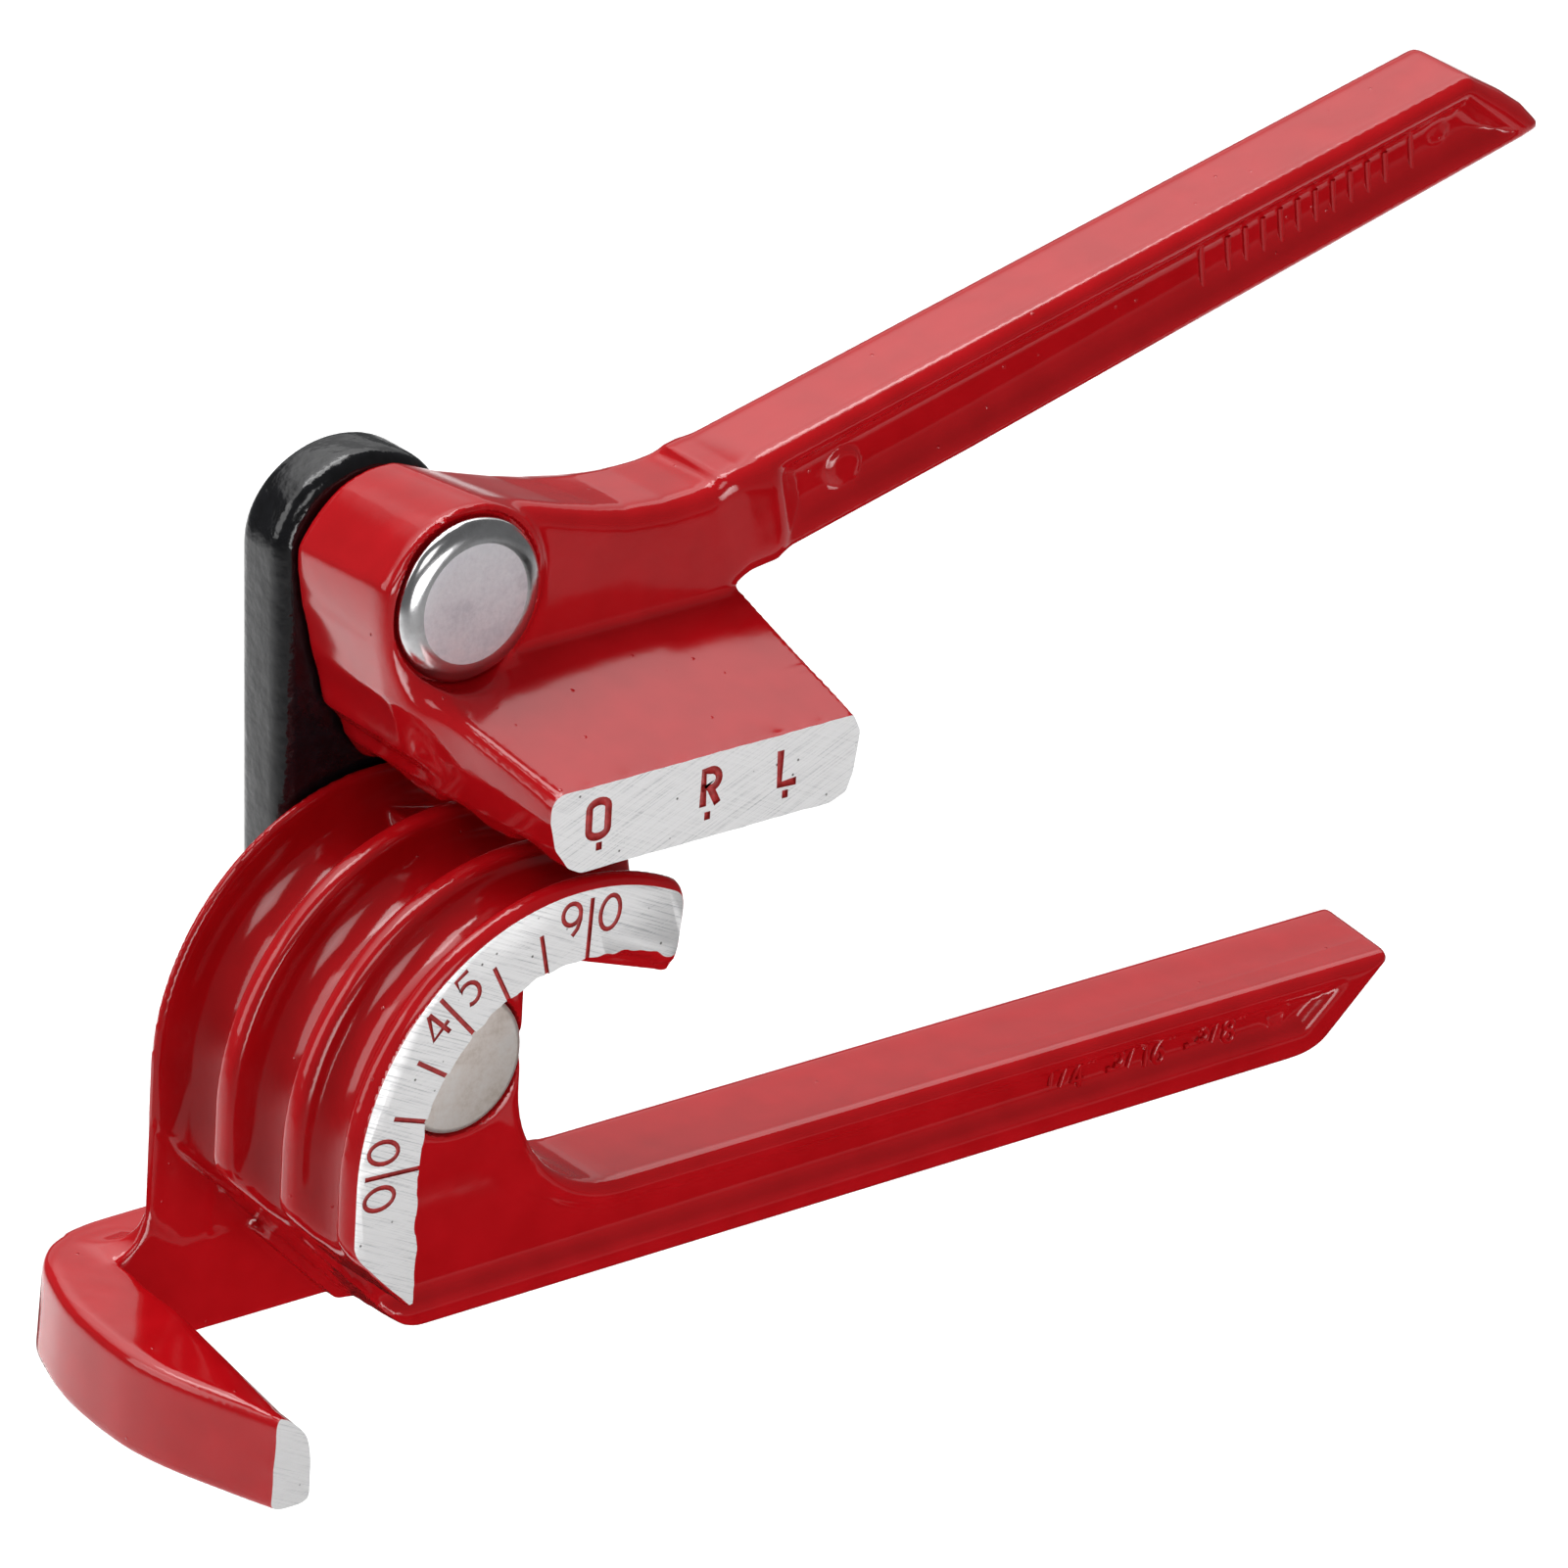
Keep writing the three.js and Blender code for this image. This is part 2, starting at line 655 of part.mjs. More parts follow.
const group = new THREE.Group();
for (const [name, [manifold, look]] of Object.entries(pieces)) {
  const mesh = new THREE.Mesh(geometryOf(manifold), new THREE.MeshStandardMaterial(look));
  mesh.name = name;
  mesh.position.y = -hollowDepth;
  group.add(mesh);
}

export default group;
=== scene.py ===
# %% [markdown]
# A hand bender for three tube sizes has two enamelled castings, a black link plate and two
# rivets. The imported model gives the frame, in metres: every body, node and joint is in place.
# Here each piece gets the shape and the finish that the camera sees. The castings are modelled
# in millimetres, with Y counted from the ground scale face, and brought into the frame at the
# end, because their sizes are easier to read that way.

# %% Frame
import json
import math
import bpy
import numpy as np
import openvdb
from mathutils import Matrix, Vector


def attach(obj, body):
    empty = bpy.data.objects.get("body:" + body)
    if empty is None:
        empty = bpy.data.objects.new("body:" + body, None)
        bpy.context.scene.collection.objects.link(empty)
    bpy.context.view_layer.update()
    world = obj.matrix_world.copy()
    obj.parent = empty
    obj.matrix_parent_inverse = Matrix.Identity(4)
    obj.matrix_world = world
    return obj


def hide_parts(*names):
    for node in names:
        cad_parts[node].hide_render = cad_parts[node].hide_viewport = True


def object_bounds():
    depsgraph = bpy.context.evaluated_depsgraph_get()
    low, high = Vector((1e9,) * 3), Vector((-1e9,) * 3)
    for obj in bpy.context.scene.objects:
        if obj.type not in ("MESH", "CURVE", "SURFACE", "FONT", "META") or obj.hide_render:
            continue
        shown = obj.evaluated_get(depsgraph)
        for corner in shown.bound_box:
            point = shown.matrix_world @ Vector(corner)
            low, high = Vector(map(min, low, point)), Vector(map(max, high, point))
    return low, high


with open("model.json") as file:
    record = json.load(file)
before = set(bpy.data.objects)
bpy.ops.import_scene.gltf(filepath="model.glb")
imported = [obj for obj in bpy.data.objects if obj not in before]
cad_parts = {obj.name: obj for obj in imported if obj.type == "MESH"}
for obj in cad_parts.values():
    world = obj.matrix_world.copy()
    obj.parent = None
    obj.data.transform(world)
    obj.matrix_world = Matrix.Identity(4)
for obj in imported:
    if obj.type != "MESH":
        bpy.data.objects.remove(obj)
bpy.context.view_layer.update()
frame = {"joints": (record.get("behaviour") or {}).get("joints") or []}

# %% [markdown]
# The driving sizes are those of the real tool. The three tubes set the grooves, and the
# grooves set the former, the shoe and the hook. The pivots come from the frame's joints, so
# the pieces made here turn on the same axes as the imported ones.

# %% Driving sizes, in millimetres
tube_diameters = [6.35, 7.94, 9.53]
tube_line = 29.3
front_rim, ridge_width, back_rim = 2.3, 2.75, 1.2
crest_radius, ring_bore, hollow_depth = 26.4, 18.0, 17.3
handle_thickness = 12.7
shank_radius, shank_hole = 4.1, 4.35
millimetre = 0.001
diagonal = math.sqrt(0.5)

pivots = {joint["name"]: Vector(joint["pos_m"]) * 1000 for joint in frame["joints"]}
upper_x, upper_z = pivots["handle_pivot"].x, pivots["handle_pivot"].z

channels = []
edge = front_rim
for diameter in tube_diameters:
    channels.append((diameter / 2, edge + diameter / 2))
    edge += diameter + ridge_width
arm_front = edge - ridge_width
casting_back = arm_front + back_rim
web_back = hollow_depth + handle_thickness
print("grooves (radius, middle):", channels, "casting back at", round(casting_back, 2))

# %% [markdown]
# The camera stands where the photographer's did: far away with a long lens, a little above
# and to the left of the tool's front, and turned by three degrees. The place of the former's
# centre in the 1601 pixel picture and the scale there fix the rest.

# %% Camera
picture = 1601
azimuth, elevation, roll = (math.radians(angle) for angle in (-39.311, 24.793, 3.285))
distance = 1498.3
pixels_per_mm = 10.6814
centre_u, centre_v = 582.06, 1155.96

back = Vector((math.sin(azimuth) * math.cos(elevation),
               -math.cos(azimuth) * math.cos(elevation), math.sin(elevation)))
level_right = Vector((math.cos(azimuth), math.sin(azimuth), 0))
level_up = back.cross(level_right)
right = level_right * math.cos(roll) + level_up * math.sin(roll)
up = level_up * math.cos(roll) - level_right * math.sin(roll)
place = (back * distance - right * (centre_u - picture / 2) / pixels_per_mm
         + up * (centre_v - picture / 2) / pixels_per_mm - Vector((0, hollow_depth, 0))) / 1000


def add_object(name, data):
    thing = bpy.data.objects.new(name, data)
    bpy.context.scene.collection.objects.link(thing)
    return thing


camera = add_object("camera", bpy.data.cameras.new("camera"))
rows = [[right[i], up[i], back[i], place[i]] for i in range(3)]
camera.matrix_world = Matrix(rows + [[0, 0, 0, 1]])
camera.data.sensor_fit = "HORIZONTAL"
camera.data.sensor_width = 36
camera.data.lens = camera.data.sensor_width * distance * pixels_per_mm / picture
camera.data.clip_start, camera.data.clip_end = 0.1, 10
bpy.context.scene.camera = camera
print("camera at", [round(c, 3) for c in place], "lens", round(camera.data.lens, 1))

# %% [markdown]
# A die casting has no sharp edges: its faces meet over small radii, and its enamel rounds them
# further. Joined meshes with bevelled seams rarely survive such a shape. So each casting is a
# distance field, one number for each point of a lattice, negative inside the metal. Two fields
# join or cut each other with a soft minimum or maximum, whose softness is the radius that the
# foundry left.

# %% Distance fields
lattice_step = 0.36


def lattice(low, high):
    x, y, z = (np.arange(a, b, lattice_step, dtype=np.float32) for a, b in zip(low, high))
    return {"low": low, "x": x, "y": y, "z": z,
            "X": x[:, None, None], "Y": y[None, :, None], "Z": z[None, None, :]}


def common(a, b, soft=0.0):
    """What lies in both, with an edge rounded over the softness."""
    soft = np.maximum(soft, 1e-6, dtype=np.float32)
    near = np.maximum(soft - np.abs(a - b), 0)
    return np.maximum(a, b) + near * near / (4 * soft)


def join(a, b, soft=0.0):
    """What lies in either, with a fillet in the corner between them."""
    return -common(-a, -b, soft)


def minus(a, b, soft=0.0):
    """The first without the second."""
    return common(a, -b, soft)


def outline_gap(outline, first, second):
    """Distance to a closed outline in the plane of two axes, negative inside."""
    u, v = first[:, None], second[None, :]
    nearest = np.full((len(first), len(second)), np.inf, np.float32)
    inside = np.zeros(nearest.shape, bool)
    for (au, av), (bu, bv) in zip(outline, outline[1:] + outline[:1]):
        du, dv = bu - au, bv - av
        length = du * du + dv * dv
        if length == 0:
            continue
        share = np.clip(((u - au) * du + (v - av) * dv) / length, 0, 1)
        nearest = np.minimum(nearest, (u - au - share * du) ** 2 + (v - av - share * dv) ** 2)
        if dv:
            inside ^= ((av > v) != (bv > v)) & (u - au < du * (v - av) / dv)
    return np.where(inside, -1, 1) * np.sqrt(nearest)


def plate(g, outline, front, rear, soft):
    """An [x, z] outline from one depth to another."""
    flat = outline_gap(outline, g["x"], g["z"])[:, None, :]
    return common(flat, np.maximum(front - g["Y"], g["Y"] - rear), soft)


def lofted(g, sections, soft):
    """A solid that runs through [x, z] outlines, each drawn at its own depth."""
    depths = [depth for depth, _ in sections]
    field = np.empty((len(g["x"]), len(g["y"]), len(g["z"])), np.float32)
    reused, layer = None, None
    for j, y in enumerate(g["y"]):
        at = float(min(max(y, depths[0]), depths[-1]))
        if at != reused:
            step = max(i for i, depth in enumerate(depths[:-1]) if depth <= at)
            share = (at - depths[step]) / (depths[step + 1] - depths[step])
            pairs = zip(sections[step][1], sections[step + 1][1])
            outline = [(ax + (bx - ax) * share, az + (bz - az) * share)
                       for (ax, az), (bx, bz) in pairs]
            layer, reused = outline_gap(outline, g["x"], g["z"]), at
        field[:, j, :] = layer
    return common(field, np.maximum(depths[0] - g["Y"], g["Y"] - depths[-1]), soft)


def turned_about(x, z, angle, u, v):
    """The point (u, v) away from a middle, turned anticlockwise about it."""
    c, s = math.cos(angle), math.sin(angle)
    return x + u * c - v * s, z + u * s + v * c


def arc(x, z, radius, start, stop, steps=14):
    angles = np.radians(np.linspace(start, stop, steps + 1))
    return [(x + radius * math.cos(a), z + radius * math.sin(a)) for a in angles]


def disc(g, x, z, radius, front, rear):
    """A round bar along Y."""
    around = np.hypot(g["X"] - x, g["Z"] - z) - radius
    return common(around, np.maximum(front - g["Y"], g["Y"] - rear))


def recessed(body, gap, Y, front, depth, soft):
    """Cuts a recess with sloping walls into a face that lies at a depth."""
    cut = common((gap + Y - front) * diagonal, Y - front - depth, soft)
    return minus(body, common(cut, front - 1.2 - Y), soft)


def lumps(first, second, height, seed, waves=12):
    """Uneven paint: waves of a few millimetres in random directions over two coordinates."""
    chance = np.random.default_rng(seed)
    total = np.zeros(np.broadcast_shapes(first.shape, second.shape), np.float32)
    for _ in range(waves):
        turn, length, phase = (chance.uniform(*span)
                               for span in ((0, 2 * np.pi), (1.6, 4.5), (0, 6.3)))
        along = first * math.cos(turn) + second * math.sin(turn)
        total += np.sin(along * 2 * np.pi / length + phase) * length
    return total * np.float32(height / total.std())


print("lattice step", lattice_step, "mm")

# %% [markdown]
# The former is the grooved half wheel that the tube is bent round. Its grooves are U-shaped:
# a half round as wide as the tube, open outwards. Above the axis they run round it, and below
# it they run straight down the leg, so one number, the distance from the axis or from the
# middle plane, describes both.

# %% Former with its grooves
overrun, grinding_stock, belt_reach = 1.5, 0.3, 1.5
end_x, end_z, end_lean, end_scale = 12.1, 13.4, 0.114, 0.9936
fixed = lattice((-41.5, -overrun, -34), (123, 42.5, 28.5))
X, Y, Z = fixed["X"], fixed["Y"], fixed["Z"]

from_axis = np.where(Z > 0, np.hypot(X, Z), -X)
former = common(from_axis - crest_radius, -grinding_stock - Y, 2.4)
for groove_radius, middle in channels:
    bottom = tube_line - groove_radius
    groove = np.where(from_axis > bottom, np.abs(Y - middle),
                      np.hypot(from_axis - bottom, Y - middle))
    former = minus(former, groove - groove_radius, 1.3)
ring_end = (X - end_x - end_lean * (Z - end_z)) * end_scale
near_belt = np.exp(-np.maximum(Y, 0) / belt_reach)
former = common(former, ring_bore - from_axis + near_belt * lumps(X, Z, 0.13, 3),
                0.6 + 1.9 * np.clip((X - 0.5) / 8, 0, 1))
former = common(former, ring_end, 1.6)
former = common(former, Y - casting_back, 1.2)
gusset = plate(fixed, [(-1.2, 18), (end_x, end_z), (13, 19), (0, 22)], 1.2, casting_back - 0.6, 0.6)
gusset = common(gusset, ring_end, 1.0)
former = join(former, gusset, 0.6)
print("former field", former.shape)

# %% [markdown]
# The web fills the former's back half and grows into the lower handle. The handle's underside
# drops towards the back, as the casting's draft asks, and rises a little towards the tip. A
# shallow recess with sloping walls leaves a rim along the handle's edges.

# %% Web and lower handle
web_edge, web_top, web_radius, web_start = 7.9, 16.7, 18.5, 64.7
throat, handle_top, handle_bottom, underside_drop = 13.0, 17.9, 27.7, 2.3
slant_from_axis = 32.4
web_round = [(web_edge, web_top), *arc(0, 0, web_radius, web_start, 180)]


def handle_outline(reach):
    """The web and the handle as far as its slanting end, with room below for the underside."""
    low = -handle_bottom - underside_drop - 1
    return [(-web_radius, low), (reach - 13.2, low), (reach, -handle_top - 1.0),
            (reach - 0.5, -handle_top),
            *arc(web_edge + throat, -handle_top + throat, throat, 270, 180), *web_round]


web = lofted(fixed, [(hollow_depth, handle_outline(118.9)), (web_back, handle_outline(120.5))], 1.7)
core = [(-web_radius, -31), (web_edge, -31), *web_round]
rear_plate = plate(fixed, core, web_back - 3, casting_back, 1.4)
body = join(join(former, web, 1.2), rear_plate, 0.5)

depth_share = np.clip((Y - hollow_depth) / (arm_front - hollow_depth), 0, 1)
floor_height = -handle_bottom - underside_drop * depth_share + 0.0055 * (X - web_edge)
under = (floor_height - Z) * 0.98
slant = (X + Z + slant_from_axis) * diagonal + lumps(X * 1.4, Y, 0.03, 6)
slant = np.maximum(slant, Y - arm_front)
body = minus(body, slant, 1.0)
print("web and handle joined")

# %% [markdown]
# The arm crosses the back and turns into the hook that holds the tube. Seen from above it is
# one bent strip, drawn as an [x, y] outline. The finger's inner top edge has a large radius,
# and its upper and lower faces fall towards the ground tip.

# %% Arm and hook
hook_inner = tube_line + 0.1
arm_back, arm_height, arm_low, large_radius = 40.42, -19.1, -30, 7.0


def smooth_path(points, steps=8):
    """A curve through points that are measured a few millimetres apart."""
    ends = [points[0], *points, points[-1]]
    path = []
    for a, b, c, d in zip(ends, ends[1:], ends[2:], ends[3:]):
        for i in range(steps):
            t = i / steps
            path.append(tuple(
                0.5 * (2 * q + (r - p) * t + (2 * p - 5 * q + 4 * r - s) * t ** 2
                       + (3 * q - p - 3 * r + s) * t ** 3) for p, q, r, s in zip(a, b, c, d)))
    return path + [points[-1]]


bend = smooth_path([(-32.3, -3), (-33.7, 0), (-36.2, 6), (-38.2, 11.5), (-39.2, 16), (-39.4, 20),
                    (-39.2, 24.4), (-38.5, 28.6), (-37.2, 32.6), (-35.7, 35.9), (-33.4, 38.4),
                    (-30.6, 39.7), (-27.4, 40.3), (-23.0, arm_back)])
strip = [*bend, (web_edge, arm_back), (25, 30.4), (25, 27), (-hook_inner, arm_front),
         (-hook_inner, -3)]
strip_gap = outline_gap(strip, fixed["x"], fixed["y"])[:, :, None]
strip_gap = strip_gap + np.where(X < -hook_inner - 1, 0.04 * (Z + 24), 0)
arm_top = arm_height - 2.2 * np.clip(1 - Y / 40.4, 0, 1)
arm_bottom = arm_low - 1.8 * np.clip(1 - Y / arm_front, 0, 1)
hook = common(strip_gap, np.maximum(Z - arm_top, arm_bottom - Z), 1.5)
finger_starts, far_inside = 27, -20
inner_edge = common(X + hook_inner, Z - arm_top,
                    large_radius * np.clip((finger_starts - Y) / 24, 0, 1))
on_finger = (X < -28) & (Y < finger_starts)
hook = common(hook, np.where(on_finger, inner_edge, far_inside)) + near_belt * lumps(X, Z, 0.03, 5)
body = common(body, under, 1.8)
body = join(body, hook, 0.7 + 4.2 * np.clip((-22 - X) / 4, 0, 1))
in_front = np.maximum((X + Z + (slant_from_axis + 1.4)) * diagonal, -hook_inner - X)
body = minus(body, np.maximum(in_front, Y - arm_front), 0.3)
body = common(body, arm_bottom - Z, 1.0)
print("hook joined")

# %% [markdown]
# Last, what is cut from the casting: the recess with its sloping walls, the seat of the flush
# rivet and the hole for its shank.

# %% Cuts of the fixed casting
recess_depth, pin_radius, seat_rim = 1.2, 1.4, 9.3
seat_radius, seat_depth = 7.55, 2.3
before_all, behind_all = -5, 60

recess = [(-8.5, -25.3), (107.8, -24.0), (112.6, -19.8),
          *arc(web_edge + throat, -handle_top + throat, throat + 1.9, 270, 213),
          (7.5, -11.6), (4.4, -9.4), (-12, -9.4), (-17, -14)]
recess_gap = outline_gap(recess, fixed["x"], fixed["z"])[:, None, :]
recess_gap = np.maximum(recess_gap, seat_rim - np.hypot(X, Z))
soft_wall = 0.5 + 1.1 * np.clip((44 - X) / 14, 0, 1) * np.clip((Z + 18) / 4, 0, 1)
body = recessed(body, recess_gap, Y, hollow_depth, recess_depth, soft_wall)
pin_mark = np.abs(np.hypot(X - 104.6, Z + 21.3) - pin_radius) - 0.25
body = join(body, common(pin_mark, np.abs(Y - hollow_depth - recess_depth) - 0.2, 0.2), 0.3)
body = minus(body, disc(fixed, 0, 0, seat_radius, before_all, hollow_depth + seat_depth), 0.3)
body = minus(body, disc(fixed, 0, 0, shank_hole, before_all, behind_all), 0.3)
print("fixed casting's field done")

# %% [markdown]
# A field becomes a mesh where it crosses zero. The volume library gives evenly spread quads,
# and two Newton steps along the field's slope put each corner exactly on the surface, as the
# enamel's reflections need.

# %% From field to mesh


def sampled(g, field, points):
    """The field between its lattice points, by trilinear interpolation."""
    scaled = (points - np.array(g["low"])) / lattice_step
    cell = np.clip(np.floor(scaled).astype(int), 0, np.array(field.shape) - 2)
    part = scaled - cell
    value = np.zeros(len(points))
    for corner in np.ndindex(2, 2, 2):
        weight = np.prod(np.where(corner, part, 1 - part), axis=1)
        at = cell + corner
        value += weight * field[at[:, 0], at[:, 1], at[:, 2]]
    return value


def slope(g, field, points):
    rises = [sampled(g, field, points + step) - sampled(g, field, points - step)
             for step in np.eye(3) * lattice_step / 2]
    return np.stack([rise / lattice_step for rise in rises], axis=1)


def new_piece(name, points=(), edges=(), faces=()):
    mesh = bpy.data.meshes.new(name)
    mesh.from_pydata(points, edges, faces)
    return add_object(name, mesh)


def cast(name, g, field, material):
    """The zero surface of a field as an object."""
    band = 3 * lattice_step
    volume = openvdb.FloatGrid(band)
    volume.copyFromArray(np.clip(field, -band, band).astype(np.float32))
    points, quads = volume.convertToQuads(isovalue=0.0)
    points = points * lattice_step + np.array(g["low"])
    for _ in range(2):
        gradient = slope(g, field, points)
        square = np.maximum((gradient ** 2).sum(axis=1), 0.1)
        shift = gradient * (sampled(g, field, points) / square)[:, None]
        points = points - np.clip(shift, -lattice_step / 2, lattice_step / 2)
    piece = new_piece(name, points, (), quads)
    piece.data.materials.append(material)
    print(name, "cast with", len(quads), "faces")
    return piece


# %% [markdown]
# Colours are sRGB hex values, turned to linear. One helper adds a node with its values and
# links, and the others use it for the few kinds that the materials need. Sizes and depths are
# in millimetres.

# %% Colours and nodes


def linear(code):
    shares = [int(code[i:i + 2], 16) / 255 for i in (1, 3, 5)]
    return [c / 12.92 if c <= 0.04045 else ((c + 0.055) / 1.055) ** 2.4 for c in shares] + [1.0]


def add(tree, kind, inputs=None, **settings):
    """One node: settings by name, and inputs by name or number as a value or a link."""
    node = tree.nodes.new(kind)
    for key, value in settings.items():
        setattr(node, key, value)
    for key, value in (inputs or {}).items():
        if isinstance(value, bpy.types.NodeSocket):
            tree.links.new(value, node.inputs[key])
        else:
            node.inputs[key].default_value = value
    return node


def new_material(name):
    material = bpy.data.materials.new(name)
    material.use_nodes = True
    tree = material.node_tree
    tree.nodes.clear()
    return material, tree, add(tree, "ShaderNodeTexCoord").outputs["Object"]


def maths(tree, operation, *values):
    node = add(tree, "ShaderNodeMath", dict(enumerate(values)), operation=operation)
    return node.outputs["Value"]


def mix(tree, factor, a, b, kind="FLOAT"):
    inputs = {"Factor": factor, "A": a, "B": b}
    return add(tree, "ShaderNodeMix", inputs, data_type=kind).outputs["Result"]


def remap(tree, value, old, new=(0.0, 1.0), kind="LINEAR"):
    """Moves a value from one range to another and stops at its ends."""
    inputs = {"Value": value, "From Min": old[0], "From Max": old[1],
              "To Min": new[0], "To Max": new[1]}
    return add(tree, "ShaderNodeMapRange", inputs, interpolation_type=kind).outputs["Result"]


def noise(tree, vector, size, **inputs):
    """Soft random lumps of a size."""
    inputs = {"Vector": vector, "Scale": 1 / (size * millimetre), **inputs}
    return add(tree, "ShaderNodeTexNoise", inputs).outputs["Fac"]


def cells(tree, vector, size):
    """Scattered points: the distance to the nearest one, and a random colour for each."""
    inputs = {"Vector": vector, "Scale": 1 / (size * millimetre)}
    return add(tree, "ShaderNodeTexVoronoi", inputs).outputs


def bump(tree, height, strength, depth, **inputs):
    """Relief that only bends the light, on top of another if its normal is given."""
    inputs = {"Height": height, "Strength": strength, "Distance": depth * millimetre, **inputs}
    return add(tree, "ShaderNodeBump", inputs).outputs["Normal"]


def surface(tree, colour, roughness, **inputs):
    """The shader and the output that end a material."""
    inputs = {"Base Color": colour, "Roughness": roughness, **inputs}
    shader = add(tree, "ShaderNodeBsdfPrincipled", inputs)
    add(tree, "ShaderNodeOutputMaterial", {"Surface": shader.outputs["BSDF"]})


def ramp(tree, factor, stops):
    """A colour ramp with sRGB stops."""
    node = add(tree, "ShaderNodeValToRGB", {"Fac": factor})
    elements = node.color_ramp.elements
    while len(elements) < len(stops):
        elements.new(0.5)
    for element, (position, code) in zip(elements, stops):
        element.position, element.color = position, linear(code)
    return node.outputs["Color"]


print("enamel red is", [round(c, 3) for c in linear("#b60e16")])

# %% [markdown]
# The castings are die-cast aluminium under a glossy red baking enamel. The enamel is thick
# and levels out to a soft orange peel, a ripple a few millimetres wide that bends each
# reflection, with a few dust grains caught in it.

# %% Red baking enamel
enamel, tree, place_on = new_material("red baking enamel on die-cast aluminium")
peel = noise(tree, place_on, 4.5, Detail=2.0, Roughness=0.45)
dust = cells(tree, place_on, 2.6)
grain = remap(tree, dust["Distance"], (0.0, 0.09), (1.0, 0.0), "SMOOTHSTEP")
seldom = maths(tree, "GREATER_THAN", dust["Color"], 0.6)
shade = ramp(tree, peel, [(0.3, "#ac0b12"), (0.7, "#b60e16")])
ripple = bump(tree, peel, 0.45, 0.07)
relief = bump(tree, maths(tree, "MULTIPLY", grain, seldom), 0.7, 0.12, Normal=ripple)
surface(tree, shade, 0.11, IOR=1.5, Normal=relief)
print("made", enamel.name)

# %% [markdown]
# The scale face, the shoe's front and the hook's tip are ground on a belt after painting. The
# belt leaves fine straight scratches, a few of them deep, and opens small casting pores. The
# scale face was held one way and the shoe another, so two directions are mixed by height. A
# real scratch is finer than a pixel here, so these are 0.17 mm wide. To the eye they turn a
# mirror into a bright, even white grey.

# %% Ground aluminium
scale_below, shoe_above = 27 * millimetre, 27.4 * millimetre


def scratches(tree, place_on, degrees, width, length):
    """Noise drawn out along one direction of the ground faces."""
    turn = (0, math.radians(degrees), 0)
    turned = add(tree, "ShaderNodeMapping", {"Vector": place_on, "Rotation": turn})
    scale = [1 / (size * millimetre) for size in (length, width, width)]
    drawn = add(tree, "ShaderNodeMapping", {"Vector": turned.outputs["Vector"], "Scale": scale})
    inputs = {"Vector": drawn.outputs["Vector"], "Scale": 1.0, "Detail": 3.0, "Roughness": 0.6}
    return add(tree, "ShaderNodeTexNoise", inputs).outputs["Fac"]


bare, tree, place_on = new_material("belt-ground cast aluminium")
height = add(tree, "ShaderNodeSeparateXYZ", {"Vector": place_on}).outputs["Z"]
side = remap(tree, height, (scale_below, shoe_above), (0.2, 0.72))
both = mix(tree, side, scratches(tree, place_on, -26, 0.17, 7),
           scratches(tree, place_on, 23, 0.18, 8))
pore = remap(tree, cells(tree, place_on, 2.2)["Distance"], (0.03, 0.08))
lines = ramp(tree, both, [(0.34, "#b0b1b4"), (0.46, "#f0efef"), (0.56, "#fffefe")])
shade = mix(tree, noise(tree, place_on, 5), lines, linear("#fbfafa"), "RGBA")
shade = mix(tree, pore, linear("#5d5856"), shade, "RGBA")
rough = remap(tree, both, (0.3, 0.7), (0.72, 0.5))
surface(tree, shade, rough, Metallic=1.0, Normal=bump(tree, both, 0.8, 0.05))
print("made", bare.name)

# %% [markdown]
# Figures and marks were cast into the face, so the enamel stays in them when the face is
# ground. It lies low there, matt and a little dirty.

# %% Enamel left in the engraving
inlay, tree, place_on = new_material("matt enamel left in the engraving")
dirt = noise(tree, place_on, 0.7)
shade = ramp(tree, dirt, [(0.35, "#98201f"), (0.65, "#b83434")])
surface(tree, shade, 0.45, Normal=bump(tree, dirt, 0.4, 0.05))
print("made", inlay.name)

# %% [markdown]
# The marks of the angle scale repeat every fifteen degrees round the ring, and every third one
# is long and has a number. That is a rule, so Geometry Nodes make their cutters: points on the
# ring's bore, each with a turned and stretched unit cube.

# %% Cutters for the scale marks


def finished(piece):
    """The evaluated object as a plain mesh, with no modifier left."""
    evaluated = piece.evaluated_get(bpy.context.evaluated_depsgraph_get())
    mesh = bpy.data.meshes.new_from_object(evaluated)
    piece.modifiers.clear()
    piece.data = mesh
    return piece


def node_tree(name, sizes):
    """An empty geometry tree, and the sockets of its named inputs."""
    tree = bpy.data.node_groups.new(name, "GeometryNodeTree")
    tree.interface.new_socket("Geometry", in_out="INPUT", socket_type="NodeSocketGeometry")
    tree.interface.new_socket("Geometry", in_out="OUTPUT", socket_type="NodeSocketGeometry")
    for label, value in sizes.items():
        kind = "NodeSocketInt" if isinstance(value, int) else "NodeSocketFloat"
        tree.interface.new_socket(label, in_out="INPUT", socket_type=kind).default_value = value
    return tree, add(tree, "NodeGroupInput").outputs


def end_tree(tree, geometry):
    """Gives the result the enamel of the engraving and hands it out."""
    painted = add(tree, "GeometryNodeSetMaterial", {"Geometry": geometry, "Material": inlay})
    add(tree, "NodeGroupOutput", {"Geometry": painted.outputs["Geometry"]})


def run_tree(piece, tree, sizes):
    """Adds the tree as a modifier with its sizes, and gives back the plain result."""
    modifier = piece.modifiers.new(tree.name, "NODES")
    modifier.node_group = tree
    for item in tree.interface.items_tree:
        if item.in_out == "INPUT" and item.name in sizes:
            modifier[item.identifier] = sizes[item.name]
    return finished(piece)


def face_outwards(piece):
    """Turns the faces so that the enclosed volume is positive."""
    mesh = piece.data
    mesh.validate()
    mesh.calc_loop_triangles()
    corners = ([mesh.vertices[i].co for i in face.vertices] for face in mesh.loop_triangles)
    if sum(a.dot(b.cross(c)) for a, b, c in corners) < 0:
        mesh.flip_normals()
    return piece


